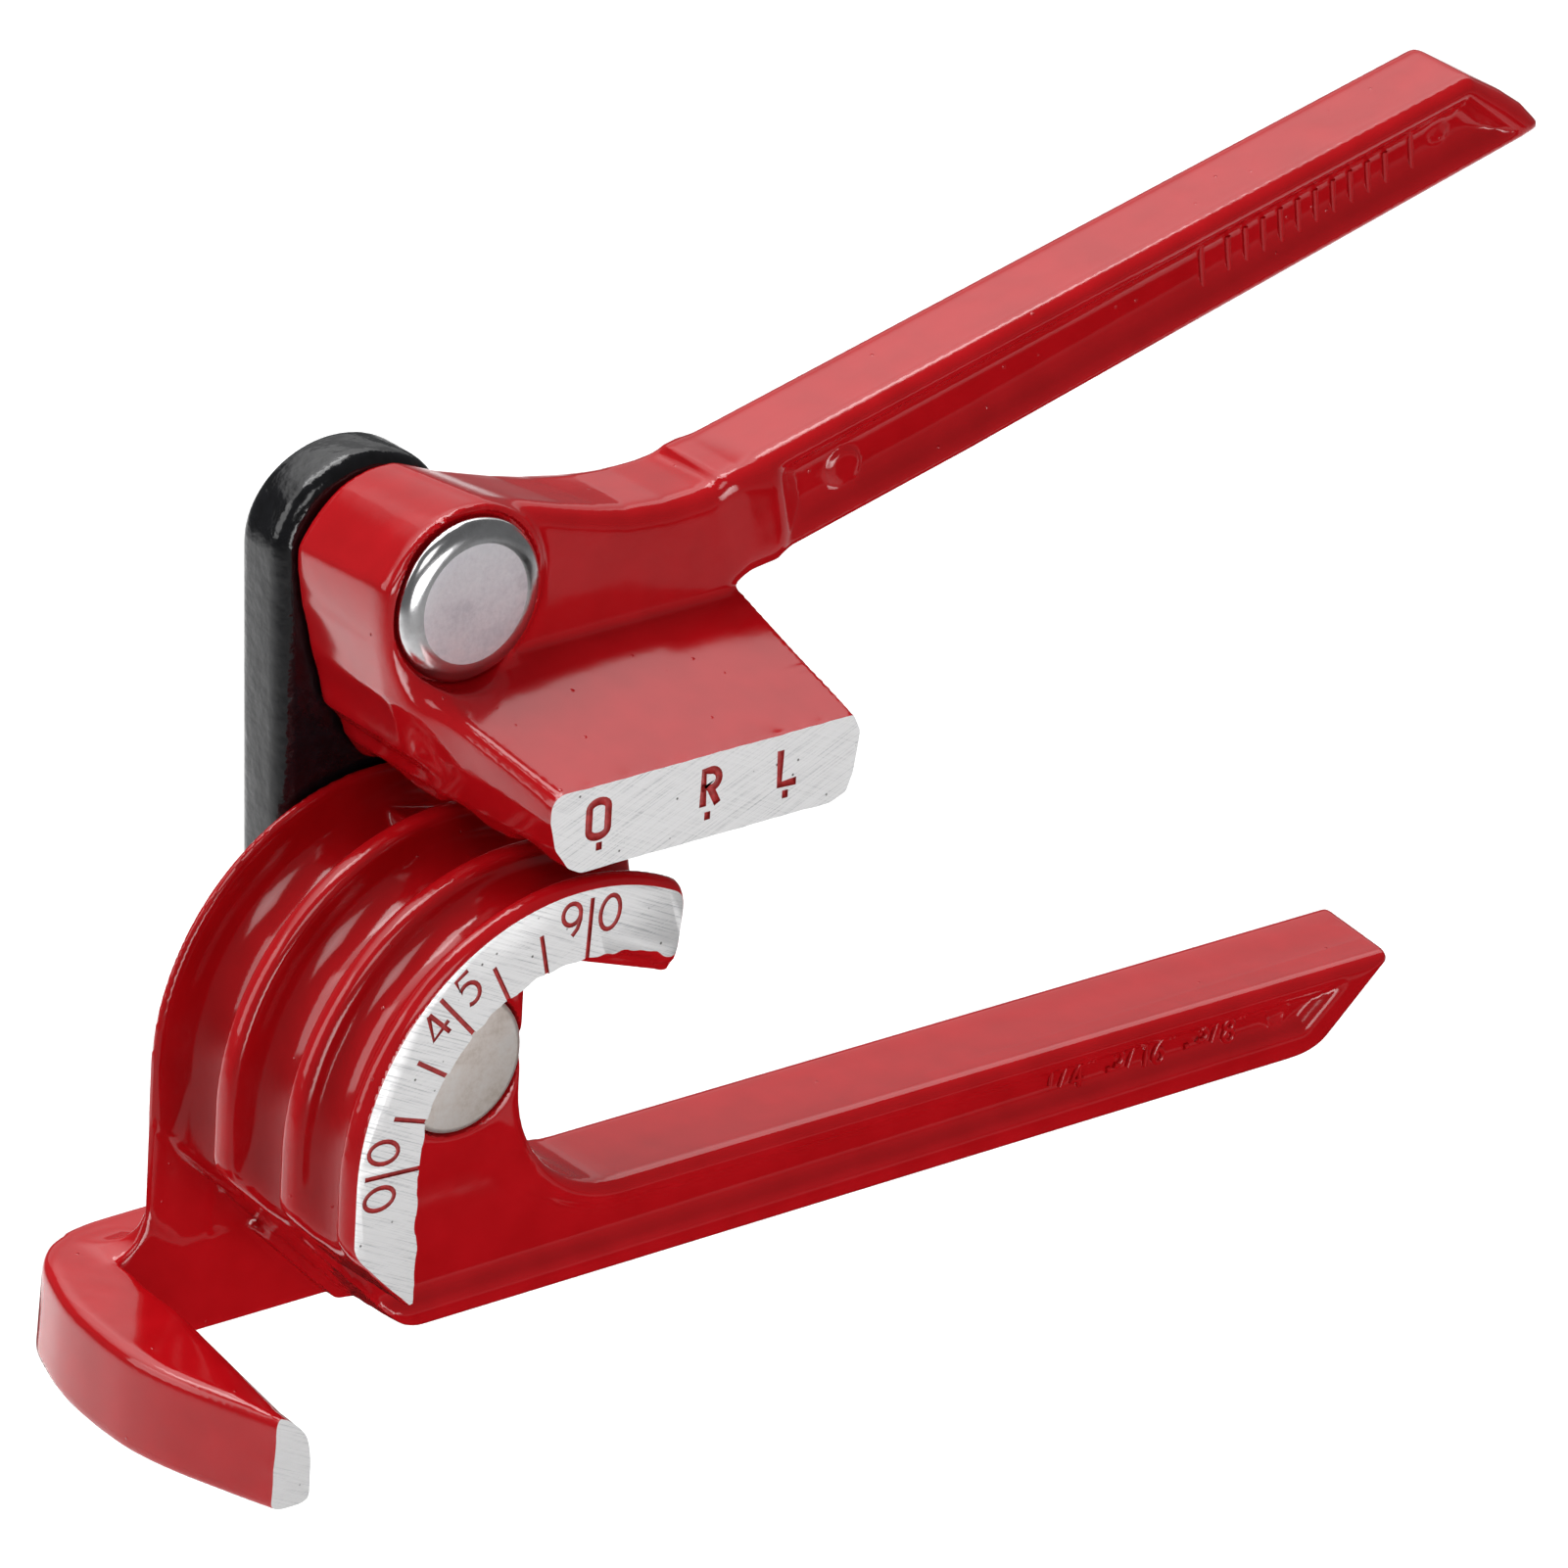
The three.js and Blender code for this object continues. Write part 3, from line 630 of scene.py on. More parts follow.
mark_sizes = {"Marks": 7, "First Turn": math.radians(2.9), "Step": math.radians(15.03),
              "Bore": ring_bore - 0.4, "Long": 6.9, "Short": 4.8, "Width": 0.5, "Depth": 0.6}
tree, sizes = node_tree("scale marks", mark_sizes)
points = add(tree, "GeometryNodePoints", {"Count": sizes["Marks"]}).outputs["Points"]
index = add(tree, "GeometryNodeInputIndex").outputs["Index"]
angle = maths(tree, "MULTIPLY_ADD", index, sizes["Step"], sizes["First Turn"])
inwards = maths(tree, "MULTIPLY", sizes["Bore"], -1.0)
across = maths(tree, "MULTIPLY", maths(tree, "COSINE", angle), inwards)
height = maths(tree, "MULTIPLY", maths(tree, "SINE", angle), sizes["Bore"])
spot = add(tree, "ShaderNodeCombineXYZ", {"X": across, "Z": height}).outputs["Vector"]
placed = add(tree, "GeometryNodeSetPosition", {"Geometry": points, "Position": spot})
numbered = maths(tree, "LESS_THAN", maths(tree, "MODULO", index, 3.0), 0.5)
length = mix(tree, numbered, sizes["Short"], sizes["Long"])
stretch = add(tree, "ShaderNodeCombineXYZ", {"X": length, "Y": sizes["Depth"], "Z": sizes["Width"]})
turned = add(tree, "ShaderNodeCombineXYZ", {"Y": angle})
unit = add(tree, "GeometryNodeMeshCube", {"Size": (1, 1, 1)}).outputs["Mesh"]
outwards = add(tree, "GeometryNodeTransform", {"Geometry": unit, "Translation": (-0.5, 0, 0)})
copies = add(tree, "GeometryNodeInstanceOnPoints", {
    "Points": placed.outputs["Geometry"], "Instance": outwards.outputs["Geometry"],
    "Rotation": turned.outputs["Vector"], "Scale": stretch.outputs["Vector"]})
real = add(tree, "GeometryNodeRealizeInstances", {"Geometry": copies.outputs["Instances"]})
end_tree(tree, real.outputs["Geometry"])
mark_cutter = run_tree(new_piece("scale mark cutters"), tree, mark_sizes)
print("scale marks:", len(mark_cutter.data.polygons) // 6)

# %% [markdown]
# Figures and letters are engraved with a round tool of constant width. Each is a few strokes
# drawn in a unit square, and a second tree sweeps a round profile along them. Strokes that
# cross go into separate cutters, because a cutter has to be a clean closed solid.

# %% Cutters for figures and letters


def loop(x, z, half_width, half_height, start=90.0, sweep=-360.0, steps=22):
    angles = np.radians(start + sweep * np.arange(steps + (abs(sweep) < 360)) / steps)
    return [(x + half_width * math.cos(a), z + half_height * math.sin(a)) for a in angles]


# Each figure: a list of (layer, closed, points in shares of the figure's width and height)
figure_shares = {
    "0": [(0, True, loop(0.5, 0.5, 0.5, 0.5))],
    "4": [(0, False, [(0.72, 1), (0.72, 0)]),
          (1, False, [(0.66, 1), (0, 0.3), (1.05, 0.3)])],
    "5": [(0, False, [(0.92, 1), (0.2, 1), (0.12, 0.56),
                      *loop(0.42, 0.34, 0.5, 0.34, 125, -250, 14)])],
    "9": [(0, True, loop(0.5, 0.68, 0.46, 0.32)),
          (1, False, [(0.96, 0.72), (0.93, 0.45), (0.78, 0.2), (0.5, 0.02)])],
    "O": [(0, True, [(0.12, 0.25), *loop(0.5, 0.8, 0.38, 0.2, 180, -180, 10),
                     *loop(0.5, 0.2, 0.38, 0.2, 0, -180, 10)])],
    "R": [(0, False, [(0.16, 0), (0.16, 1), *loop(0.5, 0.74, 0.42, 0.26, 90, -180, 12),
                      (0.2, 0.48)]),
          (1, False, [(0.5, 0.5), (0.9, 0)])],
    "L": [(0, False, [(0.1, 1), (0.1, 0.02), (0.95, 0.02)])],
    ".": [(0, False, [(0.3, 0.5), (0.7, 0.5)])],
    "1": [(0, False, [(0.3, 0.8), (0.55, 1), (0.55, 0)])],
    "3": [(0, False, [*loop(0.45, 0.75, 0.45, 0.25, 150, -240, 10),
                      *loop(0.45, 0.26, 0.5, 0.26, 90, -240, 10)])],
    "6": [(0, True, loop(0.5, 0.3, 0.45, 0.3)),
          (0, False, [(0.8, 1), (0.35, 0.75), (0.06, 0.35)])],
    "8": [(0, True, loop(0.5, 0.76, 0.38, 0.24)), (0, True, loop(0.5, 0.27, 0.46, 0.27))],
    "/": [(0, False, [(0.2, 0), (0.8, 1)])],
    '"': [(0, False, [(0.3, 1), (0.25, 0.6)]), (0, False, [(0.7, 1), (0.65, 0.6)])],
}


def figure(name, x, z, width, height, turn=0.0):
    """Strokes of one figure about its middle, turned anticlockwise, on the ground face."""
    strokes = []
    for layer, closed, shares in figure_shares[name]:
        spots = [turned_about(x, z, turn, (u - 0.5) * width, (v - 0.5) * height)
                 for u, v in shares]
        strokes.append((layer, closed, [(u, 0.0, v) for u, v in spots]))
    return strokes


stroke_tree, sizes = node_tree("engraved strokes", {"Tool Radius": 0.25})
lines = add(stroke_tree, "GeometryNodeMeshToCurve", {"Mesh": sizes["Geometry"]})
tool = add(stroke_tree, "GeometryNodeCurvePrimitiveCircle", {
    "Resolution": 12, "Radius": sizes["Tool Radius"]})
swept = add(stroke_tree, "GeometryNodeCurveToMesh", {
    "Curve": lines.outputs["Curve"], "Profile Curve": tool.outputs["Curve"], "Fill Caps": True})
end_tree(stroke_tree, swept.outputs["Mesh"])


def stroke_cutters(name, strokes, tool_radius):
    """One cutter for each layer of strokes."""
    cutters = []
    for layer in sorted({stroke[0] for stroke in strokes}):
        spots, edges = [], []
        for _, closed, path in (stroke for stroke in strokes if stroke[0] == layer):
            first = len(spots)
            spots += path
            edges += [(i, i + 1) for i in range(first, len(spots) - 1)]
            if closed:
                edges.append((len(spots) - 1, first))
        piece = new_piece(f"{name} {layer}", spots, edges)
        cutters.append(run_tree(piece, stroke_tree, {"Tool Radius": tool_radius}))
    return cutters


scale_strokes, figure_ring = [], 22.7
for degrees, off_mark, name in ((2.9, -5.9, "0"), (2.9, 6.3, "0"), (48.2, -5.7, "4"),
                                (48.2, 6.5, "5"), (93.1, -5.8, "9"), (93.1, 5.8, "0")):
    at = math.radians(degrees + off_mark)
    scale_strokes += figure(name, -figure_ring * math.cos(at), figure_ring * math.sin(at),
                            2.3, 3.5, math.pi / 2 - at)
scale_cutters = stroke_cutters("scale figure cutter", scale_strokes, 0.25)

shoe_strokes, letter_row, dot_row = [], 32.7, 29.8
for name, x, width, dot_shift in (("O", 1.5, 3.0, 0.2), ("R", 14.9, 2.4, -0.2),
                                  ("L", 24.3, 2.4, -0.2)):
    shoe_strokes += figure(name, x, letter_row, width, 3.7)
    shoe_strokes += figure(".", x + dot_shift, dot_row, 1.8, 1.0)
shoe_cutters = stroke_cutters("shoe letter cutter", shoe_strokes, 0.42)
print("cutters:", len(scale_cutters), "for the scale,", len(shoe_cutters), "for the shoe")

# %% [markdown]
# The belt grinder is a large box whose face is the ground plane. Cutting with it leaves a
# truly flat face with a crisp border, and the cut faces take the cutter's material. Before
# that the mesh is thinned where it is flat, so that the piece stays light.

# %% Grinding and engraving
face_limit = 150000


def cut_with(piece, cutters):
    for cutter in cutters:
        cut = piece.modifiers.new("cut", "BOOLEAN")
        cut.operation, cut.solver, cut.material_mode = "DIFFERENCE", "MANIFOLD", "TRANSFER"
        cut.object = cutter
    finished(piece)
    for cutter in cutters:
        bpy.data.objects.remove(cutter)


def grinder():
    corners = [(x, y, z) for x in (-60, 160) for y in (-20, 0) for z in (-60, 100)]
    faces = [(0, 1, 3, 2), (4, 6, 7, 5), (0, 4, 5, 1), (2, 3, 7, 6), (0, 2, 6, 4), (1, 5, 7, 3)]
    box = new_piece("grinder", corners, [], faces)
    box.data.materials.append(bare)
    return box


def into_frame(piece):
    """From millimetres and the ground face to metres and the frame's origin."""
    shift = Matrix.Translation((0, -hollow_depth * millimetre, 0))
    piece.data.transform(shift @ Matrix.Scale(millimetre, 4))
    return piece


def thinned(piece):
    triangles = 2 * len(piece.data.polygons)
    if triangles > face_limit:
        piece.modifiers.new("thin", "DECIMATE").ratio = face_limit / triangles
        finished(piece)
    return piece


def smooth(piece, degrees):
    piece.data.shade_smooth()
    piece.data.set_sharp_from_angle(angle=math.radians(degrees))
    print(piece.name, "has", len(piece.data.polygons), "faces")
    return piece


fixed_piece = thinned(cast("fixed_casting_enamelled", fixed, body, enamel))
del former, web, rear_plate, gusset, hook, body
cut_with(fixed_piece, [grinder()])
cut_with(fixed_piece, [mark_cutter])
cut_with(fixed_piece, scale_cutters)
smooth(into_frame(fixed_piece), 40)
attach(fixed_piece, "fixed_casting")
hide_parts("former_and_lower_handle")

# %% [markdown]
# The moving casting starts with the shoe that presses the tube. Its front lip stands lower
# than its root, so its top slopes up to the web, and its three channels are half rounds for
# the same tubes as the former's grooves.

# %% Shoe
moving = lattice((-13, -overrun, 26), (133.5, 34.5, 79))
X, Y, Z = moving["X"], moving["Y"], moving["Z"]
shoe_low = 27.5

heel = [(29.7, shoe_low), (31.6, 28.2), (32.4, 30.0)]
lip = [(-0.4, shoe_low), *heel, (33.0, 34.4), (32.1, 36.2), (-2.9, 36.2), (-3.7, 35.9),
       (-4.1, 35.2), (-4.3, 33.6), (-3.5, 30.6), (-2, 28.4)]
right_side = [(-1.5, shoe_low), *heel, (32.7, 36.5), (31.7, 42.5)]
low_left = [(-4.7, 30.5), (-3, 28.2)]
root = [*right_side, (-7.7, 42.5), (-8.4, 42.2), (-8.7, 41.5), (-6.9, 35.7), *low_left]
rear = [*right_side, (-4, 42.5), (-6.3, 41), (-7.0, 39.5), (-6.4, 35.7), *low_left]
shoe = lofted(moving, [(-2, lip), (0, lip), (18, root), (casting_back, rear)], 1.1)
for groove_radius, middle in channels:
    channel = np.hypot(Y - middle, Z - tube_line + groove_radius) - groove_radius
    shoe = minus(shoe, channel, 0.9)
print("shoe field", shoe.shape)

# %% [markdown]
# The hub carries the upper rivet. It tapers towards the back, and a low pad round the rivet
# stands proud of the web. The web sweeps from the hub into the handle, thinner at the back.

# %% Hub and web
hub_radius, hub_taper, pad_front = 9.4, 1.6, 17.2
from_pivot = np.hypot(X - upper_x, Z - upper_z)
hub = from_pivot - hub_radius + hub_taper * (Y - pad_front) / (casting_back - pad_front)
hub = common(hub * 0.995, np.maximum(pad_front - Y, Y - casting_back), 0.9)

handle_front, handle_depth = 18.0, 10.9
web_shares = {
    handle_front: [
        (-0.5, -1.6), (3.4, -1.6), (3.62, -0.82), (3.83, -0.67), (4.13, -0.575), (4.6, 0.3),
        (3.6, 0.5), (3.1, 0.42), (2.68, 0.4), (2.17, 0.44), (1.83, 0.52), (1.4, 0.64), (0.98, 0.77),
        (0.25, 0.965), (-0.94, 0.3), (-0.88, -0.3), (-0.72, -0.9)],
    handle_front + handle_depth: [
        (-0.46, -1.6), (3.4, -1.6), (3.6, -0.85), (3.8, -0.7), (4.1, -0.6), (4.5, 0.2),
        (3.62, 0.42), (3.2, 0.35), (2.75, 0.33), (2.3, 0.36), (1.8, 0.43), (1.39, 0.51),
        (0.78, 0.69), (0.21, 0.86), (-0.84, 0.155), (-0.78, -0.41), (-0.635, -0.97)],
    casting_back: [
        (-0.45, -1.6), (3.4, -1.6), (3.5, -1.1), (3.25, -0.85), (3, -0.6), (2.8, -0.3),
        (2.66, -0.05), (2.5, 0.08), (2.3, 0.18), (2.07, 0.26), (1.75, 0.34), (1.39, 0.45),
        (0.71, 0.665), (0.2, 0.82), (-0.8, 0.1), (-0.74, -0.45), (-0.6, -1)],
}


def from_hub(shares):
    """Points in shares of the hub's radius, counted from its middle."""
    return [(upper_x + x * hub_radius, upper_z + z * hub_radius) for x, z in shares]


web = lofted(moving, [(depth, from_hub(shares)) for depth, shares in web_shares.items()], 2.2)
# The left flank runs together over a larger radius, and the hub gives back what that adds.
flank = np.clip((-1 - X) / 5, 0, 1)
shoe = shoe + np.exp(-np.maximum(Y, 0) / 0.6) * lumps(X, Z, 0.03, 8)
casting = join(join(shoe, web, 0.6 + 3.4 * flank), hub, 1.4 + 5.6 * flank)
casting = casting + 0.75 * flank * np.clip((Z - 41) / 6, 0, 1)
casting = common(casting, Y - casting_back, 0.8)
print("hub and web joined")

# %% [markdown]
# The upper handle is a straight bar, tilted by 13.6 degrees, with a long pocket in its front.
# The pocket's walls slope, and the ejector pins have left two round marks in its floor.

# %% Upper handle and its pocket
tilt = math.radians(13.6)


def along_handle(along, across):
    return turned_about(upper_x, upper_z, tilt, along, across)


bar = [along_handle(*point) for point in (
    (32, -13), (36.6, -14.5), (61, -14.4), (132.2, -13.0), (134.2, -12.8), (134.6, -11.9),
    (133.1, -9.4), (130.9, -6.9), (127.0, -3.2), (32, -3.1))]
handle = plate(moving, bar, handle_front, handle_front + handle_depth, 2.2)
casting = join(casting, handle, 1.6)

pocket = [along_handle(*point) for point in (
    (38.1, -12.9), (61, -12.9), (131.3, -11.4), (126.2, -4.7), (38.1, -4.7))]
pocket_depth = 1.8
pocket_gap = outline_gap(pocket, moving["x"], moving["z"])[:, None, :]
along = (X - upper_x) * math.cos(tilt) + (Z - upper_z) * math.sin(tilt)
ramp_share = np.clip(0.15 + (along - 38.1) / 3.4, 0, 1)
casting = recessed(casting, pocket_gap, Y, handle_front, pocket_depth * ramp_share, 0.8)
floor_depth = handle_front + pocket_depth
for pin_along, pin_across, radius, height in ((46.6, -9.4, 2.0, 0.4), (122.6, -8.0, 1.2, 0.2)):
    x, z = along_handle(pin_along, pin_across)
    pin_mark = common(np.hypot(X - x, Z - z) - radius, np.abs(Y - floor_depth) - height, 0.4)
    casting = join(casting, pin_mark, 0.3)
print("handle joined")

# %% [markdown]
# The rivet's shank needs its hole and its head a little room: the dark line round the head is
# that gap. Cutting it in the field, before there is a mesh, keeps the pad's thin rim clean.

# %% Cuts of the moving casting
room_radius, room_depth = 8.75, 0.5
head_room = disc(moving, upper_x, upper_z, room_radius, before_all, pad_front + room_depth)
casting = minus(casting, head_room, 0.2)
casting = minus(casting, disc(moving, upper_x, upper_z, shank_hole, before_all, behind_all), 0.3)
moving_piece = thinned(cast("moving_casting_enamelled", moving, casting, enamel))
del shoe, hub, web, handle, casting
cut_with(moving_piece, [grinder()])
cut_with(moving_piece, shoe_cutters)
smooth(into_frame(moving_piece), 40)
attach(moving_piece, "lever")
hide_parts("shoe_and_upper_handle")

# %% [markdown]
# The mould also left raised marks in the two recesses: the tube sizes in the lower one, and in
# the upper one a row of plain ribs between two longer bars. They are the same strokes as the
# engraving, swept with a round tool whose back sinks into the floor.

# %% Raised sizes and ribs
raised_radius, proud = 0.32, 0.1
size_row, letter_pitch, letter_size = -21.5, 1.75, (1.35, 2.5)
rib_row = -8.7


def raised(name, strokes, floor_at, body_name):
    """Raised strokes on a recess floor as one piece."""
    flat = [(0, closed, path) for _, closed, path in strokes]
    piece = stroke_cutters(name, flat, raised_radius)[0]
    piece.data.transform(Matrix.Translation((0, floor_at - proud, 0)))
    piece.data.materials.clear()
    piece.data.materials.append(enamel)
    piece.name = name
    smooth(into_frame(face_outwards(piece)), 50)
    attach(piece, body_name)


size_strokes = []
for text, x in (("1/4\"", 78.0), (".", 82.9), ("5/16\"", 87.6), (".", 93.0), ("3/8\"", 97.6)):
    last = len(text) - 1
    for i, letter in enumerate(text):
        shift = (i - last / 2) * letter_pitch
        lift = {0: 0.6, 1: 0.1, last: 0.35}.get(i, -0.4) if last else -0.8
        size_strokes += figure(letter, x + shift, size_row + lift, *letter_size)
raised("raised_tube_sizes", size_strokes, hollow_depth + recess_depth, "fixed_casting")

rib_strokes = []
for along, length in [(92.0, 5.2), (119.0, 5.2)] + [(95.4 + 2.25 * i, 3.6) for i in range(10)]:
    ends = [along_handle(along + 0.1 * half, rib_row + half) for half in (-length / 2, length / 2)]
    rib_strokes.append((0, False, [(x, 0.0, z) for x, z in ends]))
raised("raised_ribs", rib_strokes, floor_depth, "lever")

# %% [markdown]
# The link is a steel bar with round ends and well rounded edges, dipped in black paint. Its
# outline is swept through a quarter round at each edge, where a bevel would have to guess.

# %% Link plate
link_lean = math.atan2(-upper_x, upper_z)
link_front, link_back = casting_back + 0.3, casting_back + 7.5
link_half_width, link_end_reach, link_edge = 10.1, 8.8, 1.9
end_steps, edge_steps = 40, 6


def link_outline(inwards):
    """The plate's outline, drawn in by a distance."""
    points = []
    for centre_x, centre_z, start in ((0, 0, math.pi), (upper_x, upper_z, 0)):
        for i in range(end_steps + 1):
            angle = start + math.pi * i / end_steps
            across = math.cos(angle) * (link_half_width - inwards)
            rise = math.sin(angle) * (link_end_reach - inwards)
            points.append(turned_about(centre_x, centre_z, link_lean, across, rise))
    return points


def band(rings, size, first=0):
    """Quads from each ring of corners to the next."""
    places = [(first + k * size, i, (i + 1) % size) for k in range(rings - 1) for i in range(size)]
    return [(start + i, start + j, start + size + j, start + size + i) for start, i, j in places]


quarters = [math.pi / 2 * i / edge_steps for i in range(edge_steps, -1, -1)]
rings = [(link_front + link_edge * (1 - math.sin(a)), link_edge * (1 - math.cos(a)))
         for a in quarters]
rings += [(link_front + link_back - depth, inwards) for depth, inwards in rings[::-1]]
size = 2 * (end_steps + 1)
spots = [(x, depth, z) for depth, inwards in rings for x, z in link_outline(inwards)]
faces = band(len(rings), size)
faces += [tuple(range(size))[::-1], tuple(range(len(spots) - size, len(spots)))]
print("link rings", len(rings), "faces", len(faces))

# %% [markdown]
# The black paint went on thick. It is glossy where it levelled and lumpy on the flat sides.

# %% Black dip paint
paint, tree, place_on = new_material("black dip paint on steel")
bumps = noise(tree, place_on, 1.3, Detail=2.0, Roughness=0.5)
swell = bump(tree, noise(tree, place_on, 7), 0.6, 0.4)
shade = ramp(tree, bumps, [(0.3, "#09090b"), (0.7, "#131316")])
surface(tree, shade, 0.15, IOR=1.5, Normal=bump(tree, bumps, 0.7, 0.14, Normal=swell))

link_piece = face_outwards(new_piece("link_plate_painted", spots, (), faces))
link_piece.data.materials.append(paint)
smooth(into_frame(link_piece), 50)
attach(link_piece, "link")
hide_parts("link_plate")

# %% [markdown]
# The rivets are steel. The upper one keeps a domed head with a flat, slightly pitted middle and
# a rim that the riveting die polished. The lower one is driven flush and has gone dull.

# %% Rivet steels


def rivet_steel(name, shades, roughness, pit_depth):
    material, tree, place_on = new_material(name)
    speckle = noise(tree, place_on, 0.55, Detail=4.0, Roughness=0.6)
    both = mix(tree, 0.65, speckle, noise(tree, place_on, 3.5))
    shade = ramp(tree, both, list(zip((0.35, 0.5, 0.65), shades)))
    rough = remap(tree, both, (0.3, 0.7), roughness[::-1])
    surface(tree, shade, rough, Metallic=1.0, Normal=bump(tree, speckle, 0.5, pit_depth))
    return material


bright_steel = rivet_steel("polished steel rivet rim",
                           ("#c6c5c6", "#dcdbdc", "#ececed"), (0.12, 0.22), 0.01)
pitted_steel = rivet_steel("pitted steel rivet centre",
                           ("#c9c8ce", "#e0e0e5", "#f1f1f5"), (0.36, 0.52), 0.03)
dull_steel = rivet_steel("dull zinc-grey steel rivet",
                         ("#d8cdc3", "#ece3dc", "#f6f0eb"), (0.5, 0.62), 0.02)
print("rivet steels made")

# %% [markdown]
# Each rivet is turned: a profile of radius and depth, spun about its axis.

# %% Rivets
turn_steps = 96


def turned_piece(name, axis_x, axis_z, profile, materials, middle_steps=0):
    """Spins (radius, depth) points. The first few steps can take the second material."""
    angles = [2 * math.pi * i / turn_steps for i in range(turn_steps)]
    spots = [(axis_x, profile[0][1], axis_z)]
    for radius, depth in profile[1:-1]:
        spots += [(axis_x + radius * math.cos(angle), depth, axis_z + radius * math.sin(angle))
                  for angle in angles]
    spots.append((axis_x, profile[-1][1], axis_z))
    last = len(spots) - 1
    pairs = [(i, (i + 1) % turn_steps) for i in range(turn_steps)]
    faces = [(0, 1 + j, 1 + i) for i, j in pairs] + band(len(profile) - 2, turn_steps, 1)
    faces += [(last, last - turn_steps + i, last - turn_steps + j) for i, j in pairs]
    piece = new_piece(name, spots, (), faces)
    for material in materials:
        piece.data.materials.append(material)
    kinds = [int(i // turn_steps < middle_steps) for i in range(len(faces))]
    piece.data.polygons.foreach_set("material_index", kinds)
    return smooth(into_frame(face_outwards(piece)), 38)


def from_depth(start, profile):
    return [(radius, start + depth) for radius, depth in profile]


flush_head = from_depth(hollow_depth, [
    (0, 0.05), (6.7, 0.05), (7.0, 0.1), (7.25, 0.3), (7.3, 0.6), (7.3, 2.0), (shank_radius, 2.0)])
peened_tail = from_depth(link_back, [
    (shank_radius, 0), (6.0, 0), (6.2, 0.25), (6.2, 1.2), (5.9, 1.65), (5.2, 1.9), (4.0, 2.0),
    (0, 2.0)])
lower_rivet = turned_piece("lower_pivot_rivet_turned", 0, 0, flush_head + peened_tail, [dull_steel])
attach(lower_rivet, "fixed_casting")
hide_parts("lower_pivot_rivet")

dome_front, dome_radius, dome_flat = pad_front - 1.65, 8.35, 6.15
rim_width, rim_height, edge_round = 2.2, 1.35, 0.25
dome = [(0, dome_front + 0.02), (4.5, dome_front), (dome_flat, dome_front)]
dome += [(dome_flat + rim_width * math.sin(a), dome_front + rim_height - rim_height * math.cos(a))
         for a in np.radians(np.linspace(10, 90, 12))]
dome += [(dome_radius, pad_front - edge_round), (dome_radius - edge_round, pad_front),
         (shank_radius, pad_front)]
upper_rivet = turned_piece("upper_pivot_rivet_turned", upper_x, upper_z, dome + peened_tail,
                           [bright_steel, pitted_steel], middle_steps=2)
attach(upper_rivet, "link")
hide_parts("upper_pivot_rivet")

# %% [markdown]
# The tool hangs in white, with no shadow, so the pale floor lies well below it. Enamel shows
# the room it stands in. Its level faces mirror a large soft light behind the tool, and two
# smaller and brighter ones overhead draw the streaks in the grooves. Two black cards are painted
# shadow: they stand in for the tool's own shadow on a floor close below it, and keep the upright
# faces a deep red. The camera doesn't see them and they throw no shadow, but they are what those
# faces and the pocket mirror. A low softbox straight in front lights the ground faces, and the
# flat enamel mirrors past it. Each light is given by its radiance, because that is what a
# reflection shows.

# %% Floor and studio lights
paper, tree, place_on = new_material("matt white paper sweep")
shade = ramp(tree, noise(tree, place_on, 3), [(0.3, "#f4f4f4"), (0.7, "#f6f6f6")])
surface(tree, shade, 0.9)


def level_sheet(name, left, right, front, back, height, material):
    edge = [(left, front), (right, front), (right, back), (left, back)]
    sheet = new_piece(name, [(x, y, height) for x, y in edge], (), [(0, 1, 2, 3)])
    sheet.data.materials.append(material)
    return sheet


tool_middle = (0.04, 0, 0.01)


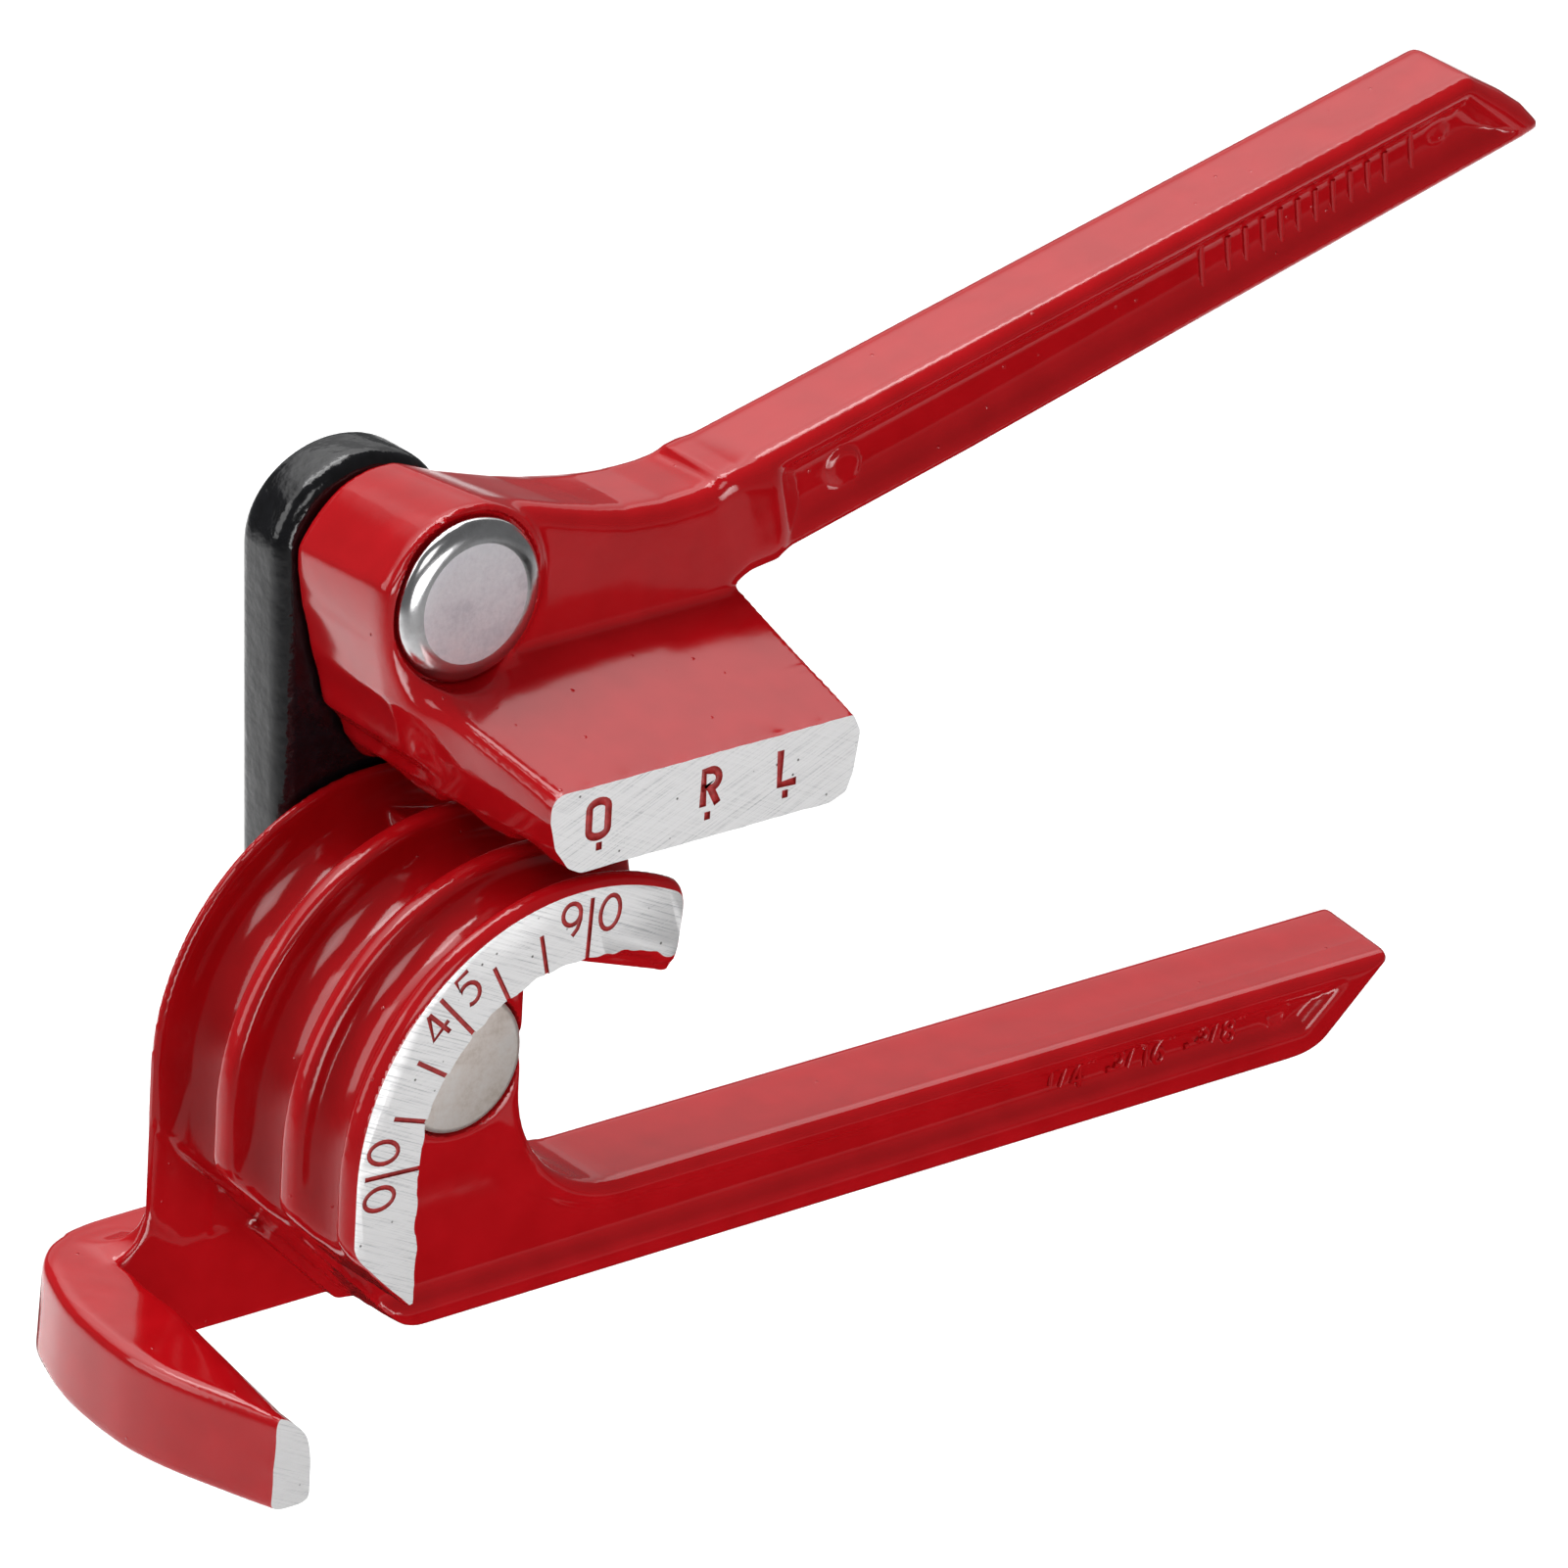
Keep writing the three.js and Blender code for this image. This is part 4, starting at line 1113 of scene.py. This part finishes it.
def softbox(name, at, width, depth, radiance, spread=180, aim=tool_middle):
    """A soft area light at a place, turned to its aim, in metres. A narrow spread is a grid."""
    half = math.radians(spread) / 2
    gathered = 1 if spread == 180 else math.tan(half) / (math.tan(half) - half)
    data = bpy.data.lights.new(name, "AREA")
    data.shape, data.size, data.size_y = "RECTANGLE", width, depth
    data.energy, data.spread = radiance * math.pi * width * depth / gathered, 2 * half
    light = add_object(name, data)
    light.location = at
    light.rotation_euler = (Vector(at) - Vector(aim)).to_track_quat("Z", "Y").to_euler()
    light.visible_camera = False


floor_drop, reach, shadow_card_height = 0.3, 8.0, -0.06
floor_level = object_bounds()[0][2] - floor_drop
floor = level_sheet("paper floor", -reach, reach, -reach, reach, floor_level, paper)

# The card is matt, so that it gives the eye nothing but dark in a reflection: painted shadow,
# standing in for the tool's own shadow on a floor close below it.
shadow_card_material, shadow_card_tree, _ = new_material("matt black shadow card")
card_shader = add(shadow_card_tree, "ShaderNodeBsdfDiffuse", {"Color": linear("#101010")})
add(shadow_card_tree, "ShaderNodeOutputMaterial", {"Surface": card_shader.outputs["BSDF"]})
for name, *edges in (("low black card", -0.02, 0.2, -0.078, 0.09),
                     ("right black card", 0.19, 0.36, -0.26, -0.15)):
    card = level_sheet(name, *edges, shadow_card_height, shadow_card_material)
    card.visible_camera = card.visible_shadow = card.visible_diffuse = False

for settings in (("overhead softbox", (-0.2, 0.25, 0.95), 0.3, 0.45, 5.5),
                 ("second overhead softbox", (0.16, 0.25, 0.95), 0.3, 0.45, 5.5),
                 ("back softbox", (0.75, 0.95, 0.62), 1.7, 0.8, 0.5),
                 ("left softbox", (-1.0, 0.35, 0.45), 0.6, 0.8, 2.5),
                 ("front softbox", (-0.6, -1.1, 0.95), 0.7, 0.6, 4.0, 60),
                 ("low front softbox", (0.0, -1.15, -0.06), 0.9, 0.4, 9.0, 60),
                 ("background light", (0.1, 0.8, 0.7), 2.4, 1.2, 4.0, 120, (0.1, 0.8, 0))):
    softbox(*settings)
world = bpy.data.worlds.new("pale studio")
bpy.context.scene.world = world
world.use_nodes = True
background = world.node_tree.nodes["Background"].inputs
background["Color"].default_value = linear("#f4f6f8")
background["Strength"].default_value = 0.15
bpy.context.scene.view_settings.view_transform = "Standard"
print("floor at", round(floor_level, 4))
